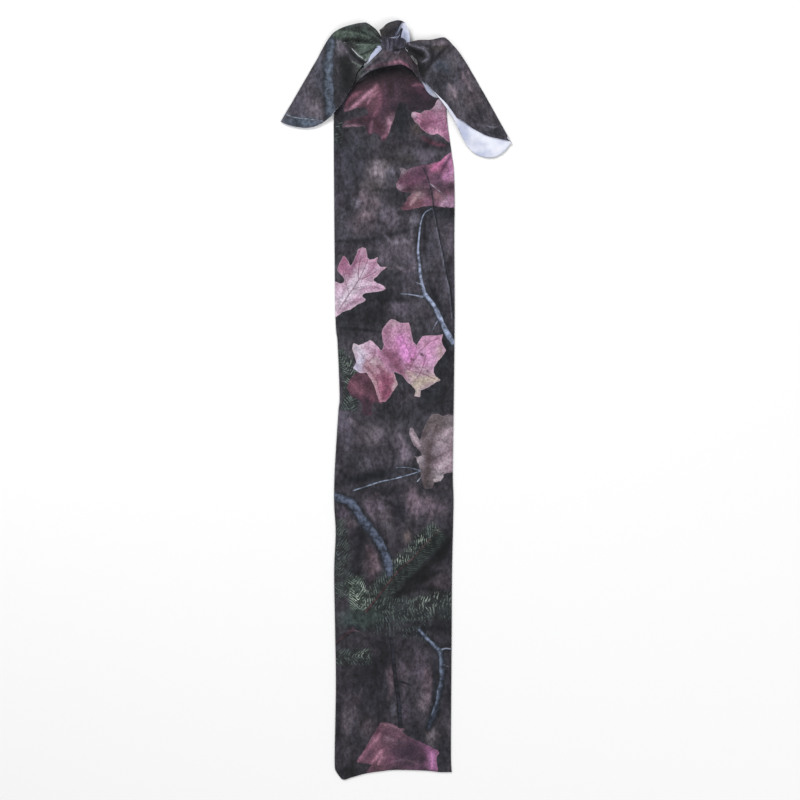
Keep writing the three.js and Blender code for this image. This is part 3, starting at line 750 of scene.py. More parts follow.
    p.streak([(51, 953), (58, 945), (65, 936)], 2.4, 0xC28A9E, 0.75, "under")
    p.streak([(59, 956), (63, 946), (63, 937)], 1.9, 0xC890A4, 0.6, "under")
    p.streak([(68, 902), (78, 903), (90, 909)], 1.4, 0x9A7884, 0.7, "under")
    p.streak([(68, 917), (76, 921), (81, 923)], 1.4, 0xA08090, 0.7, "under")
    p.streak([(76, 910), (86, 917), (97, 923)], 2.7, 0x7E5C6C, 0.5, "under")
    p.streak([(89, 937), (108, 940), (122, 948)], 5.4, 0x3C2C3A, 0.6, "under")
    p.streak([(78, 953), (94, 949), (116, 956)], 1.6, 0x7E6472, 0.5, "under")
    p.streak([(112, 930), (121, 943), (118, 955)], 6, 0x3A2C38, 0.5, "under")
    p.streak([(131, 940), (133, 950), (132, 961)], 3.0, 0xD08CBE, 0.8, "under")
    p.streak([(138, 945), (139, 956), (140, 961)], 1.6, 0x8E5C7C, 0.6, "under")
    p.leaf(DEAD_LEAF, DEAD_SPOTS, "under", (), (-4, 6, 6, 0.5), 0.8, dim=0.95)
    p.streak([(122, 582), (126, 552), (130, 525), (139, 497)], 4.3, 0x544748, 0.75, "under")
    p.streak([(122, 505), (132, 491), (148, 489)], 4.1, 0x645A5A, 0.6, "under")
    p.streak([(140, 524), (151, 510), (159, 502)], 4.3, 0xCDB8C0, 0.65, "under")
    p.streak([(138, 559), (146, 551), (157, 545)], 4.1, 0xD6C2CB, 0.7, "under")
    p.streak([(135, 572), (143, 571), (148, 567)], 2.4, 0xC8BABC, 0.8, "under")
    p.streak([(104, 509), (109, 518), (115, 526)], 2.4, 0xC8B4BC, 0.75, "under")
    p.streak([(111, 548), (115, 545), (117, 541)], 2.4, 0xCCBDC2, 0.8, "under")
    p.streak([(130, 548), (140, 540), (151, 535)], 1.9, 0x5C4E50, 0.6, "under")
    p.streak([(130, 526), (143, 518), (157, 524)], 2.2, 0x6E5C60, 0.6, "under")
    p.streak([(148, 562), (140, 564), (135, 556)], 1.6, 0x4A4043, 0.6, "under")
    p.streak([(107, 504), (111, 510), (113, 516)], 1.6, 0xB9A6AC, 0.6, "under")
    p.leaf(PINK_TIP, PINK_TIP_SPOTS, "over", PINK_TIP_VEINS, None, 0.7)
    p.streak([(110, 72), (114, 80), (116, 88)], 4, 0xE09AB8, 0.6, "over")
    p.streak([(128, 97), (135, 101), (143, 106)], 3.5, 0xE8A6C2, 0.6, "over")
    p.streak([(118, 92), (125, 92), (131, 88)], 4, 0x6E4456, 0.6, "over")
    p.streak([(150, 66), (149, 76), (150, 88)], 4, 0xD8A0B8, 0.5, "over")
    p.leaf(PINK_OAK, PINK_OAK_SPOTS, "over", PINK_OAK_VEINS, (12, 9, 7, 0.9), dim=1.25)
    p.streak([(12, 332), (27, 308), (40, 284)], 8.1, 0xE9E0E8, 0.55, "over")
    p.streak([(35, 261), (28, 278), (22, 289)], 3.0, 0x8A5674, 0.75, "over")
    p.streak([(43, 262), (40, 278), (32, 294)], 3.0, 0x9A6882, 0.55, "over")
    p.streak([(58, 274), (50, 289), (38, 301)], 3.0, 0x96627C, 0.6, "over")
    p.streak([(11, 273), (16, 286), (22, 297)], 4.1, 0x8E5A74, 0.7, "over")
    p.streak([(70, 285), (57, 294), (43, 302)], 2.2, 0xA87890, 0.5, "over")
    p.streak([(68, 315), (49, 313), (27, 317)], 2.2, 0xA06E88, 0.6, "over")
    p.streak([(40, 327), (24, 333), (7, 347)], 3.0, 0x8E5E78, 0.65, "over")
    p.streak([(49, 308), (38, 310), (24, 319)], 3.4, 0xE8DDE6, 0.4, "over")
    p.streak([(5, 289), (14, 310), (11, 324)], 2.7, 0xA47890, 0.5, "over")
    p.leaf(PALE_LEAF, PALE_LEAF_SPOTS, "over", PALE_LEAF_VEINS, (6, 6, 6, 0.7), dim=1.45)
    p.streak([(30, 394), (38, 405), (32, 416)], 4.1, 0xCFC8D8, 0.6, "over")
    p.streak([(43, 392), (51, 400), (59, 413)], 3.4, 0xA67E90, 0.5, "over")
    p.streak([(38, 416), (51, 427), (59, 440)], 2.2, 0x7C4C5C, 0.7, "over")
    p.streak([(59, 418), (70, 432), (76, 451)], 4.7, 0x80465C, 0.7, "over")
    p.streak([(65, 432), (70, 448), (65, 462)], 3.4, 0x6E3A4E, 0.7, "over")
    p.streak([(49, 432), (57, 448), (62, 462)], 2.7, 0xBFA3A8, 0.4, "over")
    p.streak([(81, 429), (85, 443), (80, 451)], 1.6, 0xC8B0B2, 0.6, "over")
    p.streak([(73, 427), (66, 413), (58, 400)], 2.2, 0xB49A9C, 0.5, "over")
    p.leaf(MAPLE, MAPLE_SPOTS, "over", MAPLE_VEINS, (8, 12, 8, 0.9), dim=1.15)
    p.streak([(77, 358), (70, 375), (72, 392)], 4.7, 0xA0708A, 0.6, "over")
    p.streak([(92, 362), (94, 378), (89, 394)], 3.4, 0xB88AA4, 0.5, "over")
    p.streak([(89, 381), (94, 394), (97, 408)], 6.8, 0xF09ADE, 0.6, "over")
    p.streak([(103, 392), (108, 400), (100, 413)], 4.1, 0xE48CCB, 0.5, "over")
    p.streak([(138, 381), (130, 397), (122, 413)], 5.4, 0xE69ED0, 0.5, "over")
    p.streak([(68, 397), (81, 413), (94, 432)], 6.8, 0x7A485E, 0.75, "over")
    p.streak([(84, 400), (86, 413), (93, 425)], 3.0, 0x8E5870, 0.5, "over")
    p.streak([(105, 446), (122, 437), (140, 436)], 5.4, 0xCDBFA6, 0.7, "over")
    p.streak([(100, 427), (111, 435), (122, 440)], 5.4, 0xC2AE9C, 0.5, "over")
    p.streak([(109, 456), (112, 448), (116, 443)], 3.4, 0xC8B8A4, 0.5, "over")
    p.streak([(143, 394), (144, 408), (138, 418)], 3.4, 0xB8A08E, 0.5, "over")
    p.streak([(117, 402), (120, 404)], 1.8, 0x41262F, 0.9, "over")
    p.streak([(104, 409), (107, 410)], 1.4, 0x41262F, 0.9, "over")
    p.streak([(88, 409), (89, 410)], 1.4, 0x4A2C3A, 0.8, "over")
    p.streak([(126, 425), (127, 426)], 1.5, 0x51323C, 0.8, "over")
    p.streak([(96, 416), (107, 418), (119, 427)], 1.6, 0x945F78, 0.6, "over")
    p.streak([(112, 389), (108, 405), (96, 421)], 1.5, 0x8C5670, 0.5, "over")
    p.branch([(77, 786), (80, 815), (83, 842), (87, 869), (89, 903)], 2.4, 3.2, 0x26272F)
    p.branch([(85, 842), (95, 845), (105, 849)], 1.8, 1.0, 0x26272F)
    p.branch([
        (-4, 594), (9, 597), (22, 602), (31, 614), (40, 628), (50, 640), (58, 651), (66, 666),
        (72, 683), (74, 697),
    ], 5.6, 5.6, 0x525A6B, 0.9)
    p.branch([
        (43, 749), (59, 729), (77, 706), (90, 691), (105, 678), (124, 657), (144, 637),
    ], 1.8, 0.7, 0x4B393B)
    p.branch([(-3, 798), (10, 785), (25, 773)], 2.0, 3.4, 0x42343A, 0.5)
    p.branch([(25, 774), (35, 777), (45, 784)], 1.2, 0.7, 0x50434A)
    p.branch([
        (131, 206), (122, 212), (117, 224), (115, 238), (113, 262), (115, 282), (116, 296), (119, 309),
        (122, 321),
    ], 0.7, 2.5, 0x8890A4, 0.6)
    p.branch([
        (122, 321), (127, 327), (134, 336), (140, 348), (147, 363), (154, 377), (161, 387),
    ], 2.6, 3.9, 0x8E98AE, 0.75)
    p.branch([(89, 321), (103, 322), (119, 325)], 0.7, 1.5, 0x858B9C, 0.4)
    p.branch([(109, 305), (116, 308)], 0.5, 0.8, 0x7A8090)
    p.branch([(132, 371), (139, 358)], 0.5, 1.0, 0x858B9C)
    p.streak([
        (132, 204), (136, 221), (141, 248), (145, 265), (149, 289), (155, 316), (159, 354),
    ], 1.1, 0x7A7C88, 0.6)
    p.branch([
        (134, 204), (138, 221), (143, 248), (147, 265), (151, 289), (157, 316), (161, 354),
    ], 1.0, 1.2, 0x24262E)
    p.branch([(130, 173), (140, 181), (154, 193)], 0.9, 0.7, 0x8C7F8C)
    p.branch([(120, 151), (128, 169), (132, 186), (134, 202)], 0.9, 1.2, 0x37303A)
    p.branch([
        (116, 560), (103, 564), (89, 568), (77, 571), (62, 574), (50, 578), (26, 586),
    ], 0.7, 1.1, 0x8A94A6, 0.5)
    p.branch([(84, 555), (99, 555), (116, 559)], 0.5, 0.9, 0x747C8C, 0.5)
    p.branch([(117, 568), (112, 574)], 0.6, 0.8, 0x9AA0AC)
    p.branch([
        (115, 775), (127, 788), (137, 797), (143, 804), (145, 819), (145, 842), (142, 856), (139, 873),
        (133, 891), (127, 904),
    ], 3.2, 3.6, 0x2F3541, 0.8)
    p.streak([
        (114, 773), (125, 785), (134, 794), (140, 801), (142, 819), (142, 842), (139, 856), (136, 873),
        (131, 888),
    ], 2.7, 0x7C879C, 0.92, "twig")
    p.branch([(142, 802), (151, 799), (165, 802)], 1.2, 0.8, 0x777D8C)
    p.branch([(144, 819), (155, 824)], 0.7, 0.5, 0x8A8C94)
    return p


def paint_back(points):
    """The picture on the sleeve's back, which the photo doesn't show: the front's, turned half round."""
    turned = points.copy()
    turned[:, 0] = SLEEVE_LEFT + SLEEVE_RIGHT - points[:, 0]
    turned[:, 1] = NECK_TOP + SLEEVE_BOTTOM - points[:, 1]
    return paint_sleeve(turned)


def paint_left(points):
    p = Print(points, 0x48454B)
    p.patches(LEFT_BARK_AND_VALLEY_SHADE)
    p.bough([(57, -19), (38, -24), (19, -28), (-3, -24)], 13, 0.5, 0x2C352F)
    # this line and the next nine: the dark lines are painted shade in the groove under the fan's raised edge,
    # in the valley below it and in the gathers' creases; the pale green ones are painted highlights on the
    # gathers' ridges and along that raised edge
    p.streak([(9, -20), (16, -11), (26, 0), (42, 12)], 4.6, 0x16181A, 0.95)
    p.streak([(11, 5), (14, 24), (11, 46)], 6.8, 0x1B1D1F, 0.85)
    p.streak([(22, 14), (19, 32), (16, 49)], 4.7, 0x17191A, 0.8)
    p.streak([(66, -15), (46, -19), (26, -19)], 3.0, 0x141A16, 0.9)
    p.streak([(65, -15), (46, -15), (28, -14)], 1.4, 0x7C8A7E, 0.7)
    p.streak([(65, -14), (46, -11), (28, -8)], 2.2, 0x5F6E62, 0.7)
    p.streak([(63, -12), (46, -4), (32, 0)], 1.6, 0x1A211C, 0.8)
    p.streak([(62, -11), (49, -1), (38, 4)], 2.4, 0x6B7A6C, 0.6)
    p.streak([(59, -8), (51, 3), (46, 8)], 1.8, 0x1A211C, 0.85)
    p.streak([(26, -8), (34, 0), (43, 7)], 1.2, 0x93A093, 0.85)
    p.streak([(24, -16), (27, -11), (30, -5)], 2.2, 0x4C4A48, 0.6)
    # this line and the next seven: dark lines of painted shade in the creases of the gathers and the rolled
    # edge at the strap's top, and paler green lines of painted highlight on their ridges
    p.streak([(57, -22), (40, -30), (24, -34)], 1.8, 0x121814, 0.8)
    p.streak([(62, -19), (49, -30), (35, -35)], 1.5, 0x4C5A50, 0.6)
    p.streak([(63, -22), (54, -34), (43, -40)], 2.0, 0x141A16, 0.8)
    p.streak([(61, -26), (51, -36), (40, -42)], 1.2, 0x46524A, 0.5)
    p.streak([(51, -23), (35, -28), (19, -30)], 1.6, 0x5A685C, 0.6)
    p.streak([(30, -24), (19, -27), (9, -24)], 1.9, 0x667468, 0.7)
    p.streak([(16, -32), (5, -30), (-1, -23)], 1.6, 0x556256, 0.6)
    p.streak([(14, -27), (5, -19), (0, -11)], 1.8, 0x37433A, 0.6)
    p.streak([(15, -8), (24, 3), (32, 14)], 2.2, 0x514E56, 0.5)
    p.streak([(24, 8), (35, 14), (43, 15)], 1.1, 0x8E9A90, 0.6)
    p.streak([(22, 5), (31, 14), (38, 19)], 0.9, 0x6E786E, 0.5)
    p.streak([(16, -5), (11, -14), (5, -19)], 3.5, 0x7C747E, 0.7)
    p.streak([(3, 5), (1, 32), (3, 65)], 2.7, 0x29292D, 0.7)
    p.streak([(-16, 5), (-22, 39), (-27, 70)], 2.7, 0x37353C, 0.5)
    p.streak([(-30, 32), (-38, 53), (-39, 76)], 3.4, 0x655F68, 0.5)
    p.streak([(-51, 59), (-46, 76), (-32, 81)], 2.7, 0x5A5560, 0.5)
    p.streak([(-43, 54), (-51, 70), (-59, 81)], 2.7, 0x3E3A42, 0.5)
    p.streak([(-19, 89), (-32, 92), (-46, 90)], 2.0, 0x586472, 0.6)
    p.patch(46, -16, 26, 14, 0x252B27, 0.28)
    p.branch([(-4, -18), (-7, 5), (-8, 32), (-7, 59), (-4, 88)], 5.6, 7.0, 0x525A66, 0.5)
    p.branch([(-69, 77), (-57, 82), (-47, 84), (-28, 86), (-16, 88)], 0.9, 0.8, 0x808A96)
    return p


def paint_right(points):
    p = Print(points, 0x48444B)
    p.patches(RIGHT_BARK_AND_VALLEY_SHADE)
    # this line and the next six: the dark ones are painted shade in the strap's crease and valleys and under
    # its rolled ridge, and the pale one is a painted highlight along that ridge
    p.streak([(155, -14), (144, -3), (131, 11), (122, 22)], 2.4, 0x1D1C20, 0.85)
    p.streak([(103, -8), (112, -3), (120, 2)], 4.2, 0x101013, 0.95)
    p.streak([(96, -14), (105, -8), (116, -5)], 1.6, 0x222228, 0.8)
    p.streak([(108, 5), (116, 16), (119, 27)], 5.4, 0x121316, 0.92)
    p.streak([(100, -15), (109, -11), (122, -8), (127, -1), (126, 5), (119, 9)], 2.3, 0x75717C, 0.85)
    p.streak([(118, -14), (129, -11), (133, -3), (131, 7), (122, 14)], 1.6, 0x1D1D22, 0.75)
    p.streak([(130, -5), (132, 3), (127, 11)], 1.9, 0x2C2B31, 0.7)
    p.streak([(105, -18), (124, -19), (146, -20)], 1.8, 0x5E5557, 0.6)
    p.streak([(108, -15), (127, -14), (143, -11)], 1.4, 0x34333A, 0.7)
    p.streak([(132, -14), (143, -15), (153, -18)], 2.2, 0x746871, 0.5)
    p.streak([(96, -11), (101, -3), (105, 5)], 1.9, 0x232328, 0.8)
    p.streak([(140, 11), (148, 16), (154, 24)], 3.4, 0x4E545F, 0.6)
    p.streak([(130, 30), (140, 43), (146, 57)], 4.1, 0x2A2A30, 0.6)
    p.streak([(154, 38), (161, 49), (165, 59)], 2.7, 0x7A6E75, 0.6)
    p.streak([(163, 19), (173, 38), (184, 54)], 2.7, 0x3A3840, 0.6)
    p.streak([(173, 22), (180, 35), (184, 46)], 2.4, 0x7E7079, 0.6)
    p.streak([(184, 49), (194, 70), (200, 89)], 3.4, 0x2E2D33, 0.6)
    p.streak([(192, 51), (205, 73), (216, 92)], 2.4, 0x5E565C, 0.5)
    p.streak([(173, 65), (184, 84), (194, 97)], 2.7, 0x35333A, 0.6)
    p.streak([(205, 94), (213, 96), (221, 96)], 0.9, 0x8E8C96, 0.8)
    p.streak([(202, 103), (219, 105), (230, 111)], 2.7, 0x2A292F, 0.7)
    p.streak([(165, 5), (176, 22), (186, 38)], 2.2, 0x585460, 0.5)
    return p


def paint_collar(points):
    p = Print(points, 0x48424A)
    p.patches(COLLAR_BARK_AND_HOLE_SHADE)
    p.patch(78, 4, 46, 20, 0x3B3B42, 0.3)
    p.streak([(65, -3), (49, 9), (32, 24)], 1.5, 0x666A6C, 0.55)
    p.streak([(62, 3), (46, 16), (30, 32)], 1.4, 0x303034, 0.6)
    p.streak([(70, 5), (54, 15), (38, 27)], 1.6, 0x5E5C63, 0.6)
    p.streak([(76, 0), (70, 8), (62, 14)], 1.4, 0x353137, 0.6)
    p.streak([(84, -1), (82, 5), (78, 11)], 1.4, 0x6A5A62, 0.5)
    p.streak([(92, -3), (96, 5), (100, 14)], 1.6, 0x33292E, 0.7)
    p.streak([(97, -8), (104, 3), (111, 16)], 2.2, 0x2C272C, 0.8)
    p.streak([(43, 19), (57, 14), (70, 11)], 1.9, 0x6C4A56, 0.5)
    p.streak([(73, 11), (86, 9), (100, 14)], 1.6, 0x764857, 0.5)
    p.streak([(81, 9), (86, 8), (92, 9)], 1.2, 0xA07484, 0.5)
    p.streak([(93, 11), (99, 15), (103, 19)], 1.2, 0x8A5A6C, 0.5)
    p.streak([(108, 19), (113, 26), (116, 32)], 1.6, 0x3A363A, 0.8)
    p.streak([(38, 32), (30, 40), (24, 49)], 1.9, 0x3A3A3E, 0.7)
    p.streak([(80, -7), (84, -2), (89, -5)], 1.2, 0x7A7280, 0.8)
    return p


def paint_knot(points):
    p = Print(points, 0x4B4853)
    p.patch(72, -36, 18, 12, 0x29272A)
    p.patch(60, -30, 8, 6, 0x3A3634)
    p.patch(90, -30, 6, 8, 0x33364A, 0.8)
    # this line and the next eight alternate dark and light: painted shade in the folds of the knot's pleated
    # band and painted highlights on its ridges
    p.streak([(68, -23), (68, -16), (69, -8)], 1.1, 0x24222A, 0.8)
    p.streak([(72, -23), (72, -15), (72, -7)], 0.9, 0x656170, 0.8)
    p.streak([(74, -22), (75, -14), (74, -7)], 0.9, 0x25232B, 0.8)
    p.streak([(78, -22), (78, -14), (77, -7)], 0.9, 0x656170, 0.8)
    p.streak([(81, -20), (81, -14), (80, -8)], 0.9, 0x25232B, 0.8)
    p.streak([(92, -36), (88, -27), (84, -16)], 1.2, 0x25263A, 0.8)
    p.streak([(89, -31), (85, -22), (81, -11)], 1.1, 0x676474, 0.7)
    p.streak([(90, -24), (88, -18), (86, -11)], 0.9, 0x2A2A36, 0.8)
    p.streak([(90, -20), (90, -16), (89, -11)], 0.9, 0x676474, 0.6)
    p.streak([(65, -35), (70, -38), (76, -35)], 1.6, 0x3A3432, 0.6)
    p.streak([(68, -31), (76, -30), (84, -36)], 2.2, 0x1D1B1E, 0.8)
    p.streak([(70, -27), (78, -27), (84, -31)], 1.6, 0x2E2A2C, 0.6)
    p.streak([(73, -40), (81, -42), (88, -40)], 1.6, 0x45403C, 0.6)
    p.streak([(63, -36), (65, -36), (67, -38)], 1.1, 0xB0A8A6, 0.7)
    return p


# ---------------------------------------------------------------- materials
class Nodes:
    """A material's node tree, with a short way to add and join nodes."""

    def __init__(self, name):
        self.material = bpy.data.materials.new(name)
        self.material.use_nodes = True
        self.tree = self.material.node_tree
        self.shader = self.tree.nodes["Principled BSDF"]

    def plug(self, socket, value):
        if isinstance(value, bpy.types.NodeSocket):
            self.tree.links.new(value, socket)
        elif value is not None:
            socket.default_value = value

    def add(self, kind, inputs=(), **settings):
        node = self.tree.nodes.new(kind)
        for key, value in settings.items():
            setattr(node, key, value)
        for key, value in dict(inputs).items():
            self.plug(node.inputs[key], value)
        return node

    def maths(self, operation, a, b=None, clamp=False):
        node = self.add("ShaderNodeMath", operation=operation, use_clamp=clamp)
        self.plug(node.inputs[0], a)
        self.plug(node.inputs[1], b)
        return node.outputs[0]

    def ramp(self, value, low, high, to_low=0.0, to_high=1.0):
        node = self.add("ShaderNodeMapRange", interpolation_type="SMOOTHSTEP")
        keys = ("Value", "From Min", "From Max", "To Min", "To Max")
        for key, entry in zip(keys, (value, low, high, to_low, to_high)):
            self.plug(node.inputs[key], entry)
        return node.outputs["Result"]

    def mix(self, factor, a, b, blend="MIX"):
        node = self.add("ShaderNodeMix", data_type="RGBA", blend_type=blend)
        self.plug(node.inputs[0], factor)
        for socket, value in ((node.inputs[6], a), (node.inputs[7], b)):
            self.plug(socket, value if isinstance(value, bpy.types.NodeSocket) else (*value, 1))
        return node.outputs[2]

    def attribute(self, name):
        node = self.add("ShaderNodeAttribute", attribute_name=name, attribute_type="GEOMETRY")
        return node.outputs["Vector"]

    def parts(self, vector):
        return self.add("ShaderNodeSeparateXYZ", {0: vector}).outputs

    def noise(self, vector, scale, detail=2.0, roughness=0.5, stretch=None):
        if stretch:
            vector = self.add("ShaderNodeMapping", {"Vector": vector, "Scale": stretch}).outputs[0]
        return self.add(
            "ShaderNodeTexNoise", {"Vector": vector, "Scale": scale, "Detail": detail, "Roughness": roughness}
        ).outputs["Fac"]

    def grey(self, value):
        return self.add("ShaderNodeCombineColor", {0: value, 1: value, 2: value}).outputs[0]


def knit(m, place):
    """Height of the stretch knit's fine diagonal ribs, from 0 to 1, at a place in metres."""
    x, y, _ = m.parts(place)
    pitch = 3.0 * MM
    one = m.maths("SINE", m.maths("MULTIPLY", m.maths("ADD", x, y), 2 * math.pi / pitch))
    two = m.maths("SINE", m.maths("MULTIPLY", m.maths("SUBTRACT", x, y), 2 * math.pi / pitch))
    return m.maths("MULTIPLY_ADD", m.maths("MULTIPLY", one, two), 0.5), one


def finish_cloth(m, colour, height, depth=0.12 * MM, roughness=0.82):
    s = m.shader.inputs
    m.plug(s["Base Color"], colour)
    s["Roughness"].default_value = roughness
    s["Specular IOR Level"].default_value = 0.25
    s["Sheen Weight"].default_value = 0.12
    s["Sheen Roughness"].default_value = 0.5
    bump = m.add("ShaderNodeBump", {"Strength": 0.6, "Distance": depth, "Height": height})
    m.plug(s["Normal"], bump.outputs[0])
    return m.material


INK = 0.78  # how much of the picture's brightness the ink gives back on cloth


def print_material():
    m = Nodes("printed_knit")
    place = m.attribute("place")
    ribs, _ = knit(m, place)
    edges = m.parts(m.attribute("edges"))
    lines = m.parts(m.attribute("lines"))

    # bark: mottled ground
    coarse = m.noise(place, 62, 7, 0.68, (1.0, 0.6, 1.0))
    fine = m.noise(place, 230, 5, 0.7, (1.0, 0.7, 1.0))
    mottle = m.maths("MULTIPLY", m.ramp(coarse, 0.33, 0.69, 0.54, 1.62), m.ramp(fine, 0.3, 0.7, 0.5, 1.54))
    colour = m.mix(1.0, m.attribute("tone"), m.grey(mottle), "MULTIPLY")

    # pine needles: thin lines leaning away from the stem
    steep, slack, level = m.parts(m.attribute("needle"))
    wobble = m.maths("MULTIPLY", m.noise(place, 75, 3, 0.6), 2.2)
    needles = None
    for lane, pitch, scale in ((steep, 0.22, 150), (slack, 0.25, 120)):
        stripe = m.maths("PINGPONG", m.maths("ADD", m.maths("MULTIPLY", lane, pitch), wobble), 0.5)
        lit = m.maths(
            "MULTIPLY", m.ramp(stripe, 0.29, 0.42), m.ramp(m.noise(place, scale, 2, 0.6), 0.47, 0.63)
        )
        needles = lit if needles is None else m.maths("MAXIMUM", needles, lit)
    needles = m.maths("MULTIPLY", needles, level, True)
    bright = m.mix(lines[2], tuple(srgb(0x68756F)), tuple(srgb(0xE2F0DC)))
    colour = m.mix(needles, colour, bright)

    # leaves on the ground
    leaf_noise = m.maths("MULTIPLY", m.noise(place, 120, 5, 0.6), m.noise(place, 420, 2))
    leaf_tone = m.grey(m.ramp(leaf_noise, 0.12, 0.4, 0.64, 1.32))
    under = m.mix(1.0, m.attribute("under_colour"), leaf_tone, "MULTIPLY")
    colour = m.mix(m.ramp(edges[0], -0.3, 0.5), colour, under)

    # branches, lit along one side
    off = m.maths("ADD", lines[0], 0.2)
    body = m.maths("SUBTRACT", 1.22, m.maths("MULTIPLY", m.maths("MULTIPLY", off, off), 0.65))
    bark = m.maths("MULTIPLY", body, m.ramp(m.noise(place, 150, 5, 0.65), 0.36, 0.66, 0.35, 1.55))
    twig = m.mix(1.0, m.attribute("twig_colour"), m.grey(bark), "MULTIPLY")
    colour = m.mix(m.ramp(edges[2], -0.3, 0.4), colour, twig)

    # leaves on top, with veins and a thin pale rim
    over = m.mix(1.0, m.attribute("over_colour"), leaf_tone, "MULTIPLY")
    spots = m.ramp(m.noise(place, 210, 1), 0.74, 0.8, 0.0, 0.75)
    over = m.mix(spots, over, tuple(srgb(0x6A4052)))
    over = m.mix(m.ramp(lines[1], 1.2, 0.3, 0.0, 0.65), over, tuple(srgb(0x7C4560)))
    over = m.mix(m.ramp(edges[1], 1.6, 0.2, 0.0, 0.3), over, tuple(srgb(0xC9B4BA)))
    colour = m.mix(m.ramp(edges[1], -0.25, 0.35), colour, over)

    # the picture is printed a little cool, and the knit shows through the ink
    colour = m.mix(1.0, colour, (0.985, 1.0, 1.055), "MULTIPLY")
    colour = m.mix(1.0, colour, m.grey(m.ramp(ribs, 0.0, 1.0, INK * 0.8, INK * 1.2)), "MULTIPLY")
    return finish_cloth(m, colour, ribs)


def white_material():
    m = Nodes("white_inside")
    place = m.attribute("place")
    ribs, _ = knit(m, place)
    # blotches of bluish grey over the white: painted soft shade of the cloth's folds, laid at random
    soft = m.noise(place, 30, 3)
    colour = m.mix(m.ramp(soft, 0.36, 0.64), tuple(srgb(0xB4BBD4)), tuple(srgb(0xE6E8F3)))
    colour = m.mix(1.0, colour, m.grey(m.ramp(ribs, -0.5, 0.5, 0.965, 1.0)), "MULTIPLY")
    return finish_cloth(m, colour, ribs, 0.08 * MM, 0.9)


PRINTED = print_material()
WHITE = white_material()


# ---------------------------------------------------------------- making a piece of cloth
def normals(grid):
    du = np.gradient(grid, axis=1)
    dv = np.gradient(grid, axis=0)
    n = np.cross(du, dv)
    return n / np.maximum(np.linalg.norm(n, axis=2, keepdims=True), 1e-12)


def cloth_piece(name, grid, faces, thick=CLOTH, printed="front", picture=paint_sleeve, top=None):
    """A piece of cloth: grid[row, column] is its front, and its back lies thick behind it.

    faces are the materials of front, back and rim, and printed says which side the picture is worked out on.
    top is the part of a folded grid whose front faces up, where that isn't the whole grid."""
    if normals(grid if top is None else top)[..., 2].mean() < 0:
        grid = grid[:, ::-1]
    rows, columns = grid.shape[:2]
    n = normals(grid)
    outer, inner = grid.reshape(-1, 3), (grid - n * thick).reshape(-1, 3)
    index = np.arange(rows * columns).reshape(rows, columns)
    a, b, c, d = index[:-1, :-1], index[:-1, 1:], index[1:, 1:], index[1:, :-1]
    top = np.stack([a, b, c, d], 2).reshape(-1, 4)
    back = top[:, ::-1] + rows * columns
    loop = np.concatenate([index[0, :-1], index[:-1, -1], index[-1, :0:-1], index[:0:-1, 0]])
    after = np.roll(loop, -1)
    rim = np.stack([after, loop, loop + rows * columns, after + rows * columns], 1)
    quads = np.vstack([top, back, rim])
    mesh = bpy.data.meshes.new(name)
    mesh.from_pydata(np.vstack([outer, inner]).tolist(), [], quads.tolist())
    slots = np.repeat([0, 1, 2], [len(top), len(back), len(rim)]).astype(np.int32)
    mesh.polygons.foreach_set("material_index", slots)
    mesh.polygons.foreach_set("use_smooth", np.ones(len(quads), bool))
    for material in faces:
        mesh.materials.append(material)
    place = mesh.attributes.new("place", "FLOAT_VECTOR", "POINT")
    place.data.foreach_set("vector", np.vstack([outer, inner]).astype(np.float32).ravel())
    if picture:
        picture(np.vstack([outer, outer]) if printed == "front" else np.vstack([inner, inner])).keep(mesh)
    piece = bpy.data.objects.new(name, mesh)
    bpy.context.collection.objects.link(piece)
    return piece


def turned_under(grid, radius, depth, steps=5):
    """The grid with its last row turned down, round and back under itself, like a hem."""
    last = grid[-1]
    ahead = last - grid[-3]
    ahead[:, 2] *= 0.3
    ahead /= np.maximum(np.linalg.norm(ahead, axis=1, keepdims=True), 1e-12)
    up = np.array([0, 0, 1.0])
    rows = []
    for angle in np.linspace(0, math.pi, steps + 1)[1:]:
        rows.append(last - up * radius * (1 - math.cos(angle)) + ahead * radius * math.sin(angle))
    for share in (0.4, 1.0):
        rows.append(rows[steps - 1] - ahead * depth * share)
    return np.concatenate([grid, np.array(rows)])


def doubled(top, under, steps=3):
    """Two grids joined into one piece of cloth, folded along top's last column and under's first column."""
    a, b = top[:, -1], under[:, 0]
    ahead = a - top[:, -3]
    ahead[:, 2] = 0
    ahead /= np.maximum(np.linalg.norm(ahead, axis=1, keepdims=True), 1e-12)
    half, middle = (a - b) / 2, (a + b) / 2
    size = np.linalg.norm(half, axis=1, keepdims=True)
    turn = [
        middle + half * math.cos(t) + ahead * size * math.sin(t)
        for t in np.linspace(0, math.pi, steps + 2)[1:-1]
    ]
    return np.concatenate([top, np.stack(turn, 1), under], 1)


def knot_places(points):
    """Places given across and up the picture from the knot's centre and up from the table, in mm."""
    p = np.array(points, float)
    return np.stack([KNOT[0] + p[:, 0] * MM, KNOT[1] + p[:, 1] * MM, p[:, 2] * MM], 1)


def knot_patch(start, end, left, right, across, along):
    return patch(*(knot_places(e) for e in (start, end, left, right)), across, along)


def fold_along(grid, points, height, width, side=0):
    """Raise or lower the cloth along a line given from the knot.

    With a side of 1 or -1, it is a step down to that side."""
    x, y = (grid[..., 0] - KNOT[0]) / MM, (grid[..., 1] - KNOT[1]) / MM
    line = curve(points, 8 * len(points))
    distance, across, along = near_line(x, y, line)
    length = np.hypot(*np.diff(line, axis=0).T).sum()
    ends = smooth(0, 0.15 * length, along) * smooth(length, 0.85 * length, along)
    if side:
        step_down = smooth(0, width, distance) * smooth(5 * width, width, distance)
        reach = np.where(across * side > 0, step_down, 0)
        grid[..., 2] -= height * MM * reach * ends
    else:
        grid[..., 2] += height * MM * np.exp(-((distance / width) ** 2)) * (0.25 + 0.75 * ends)


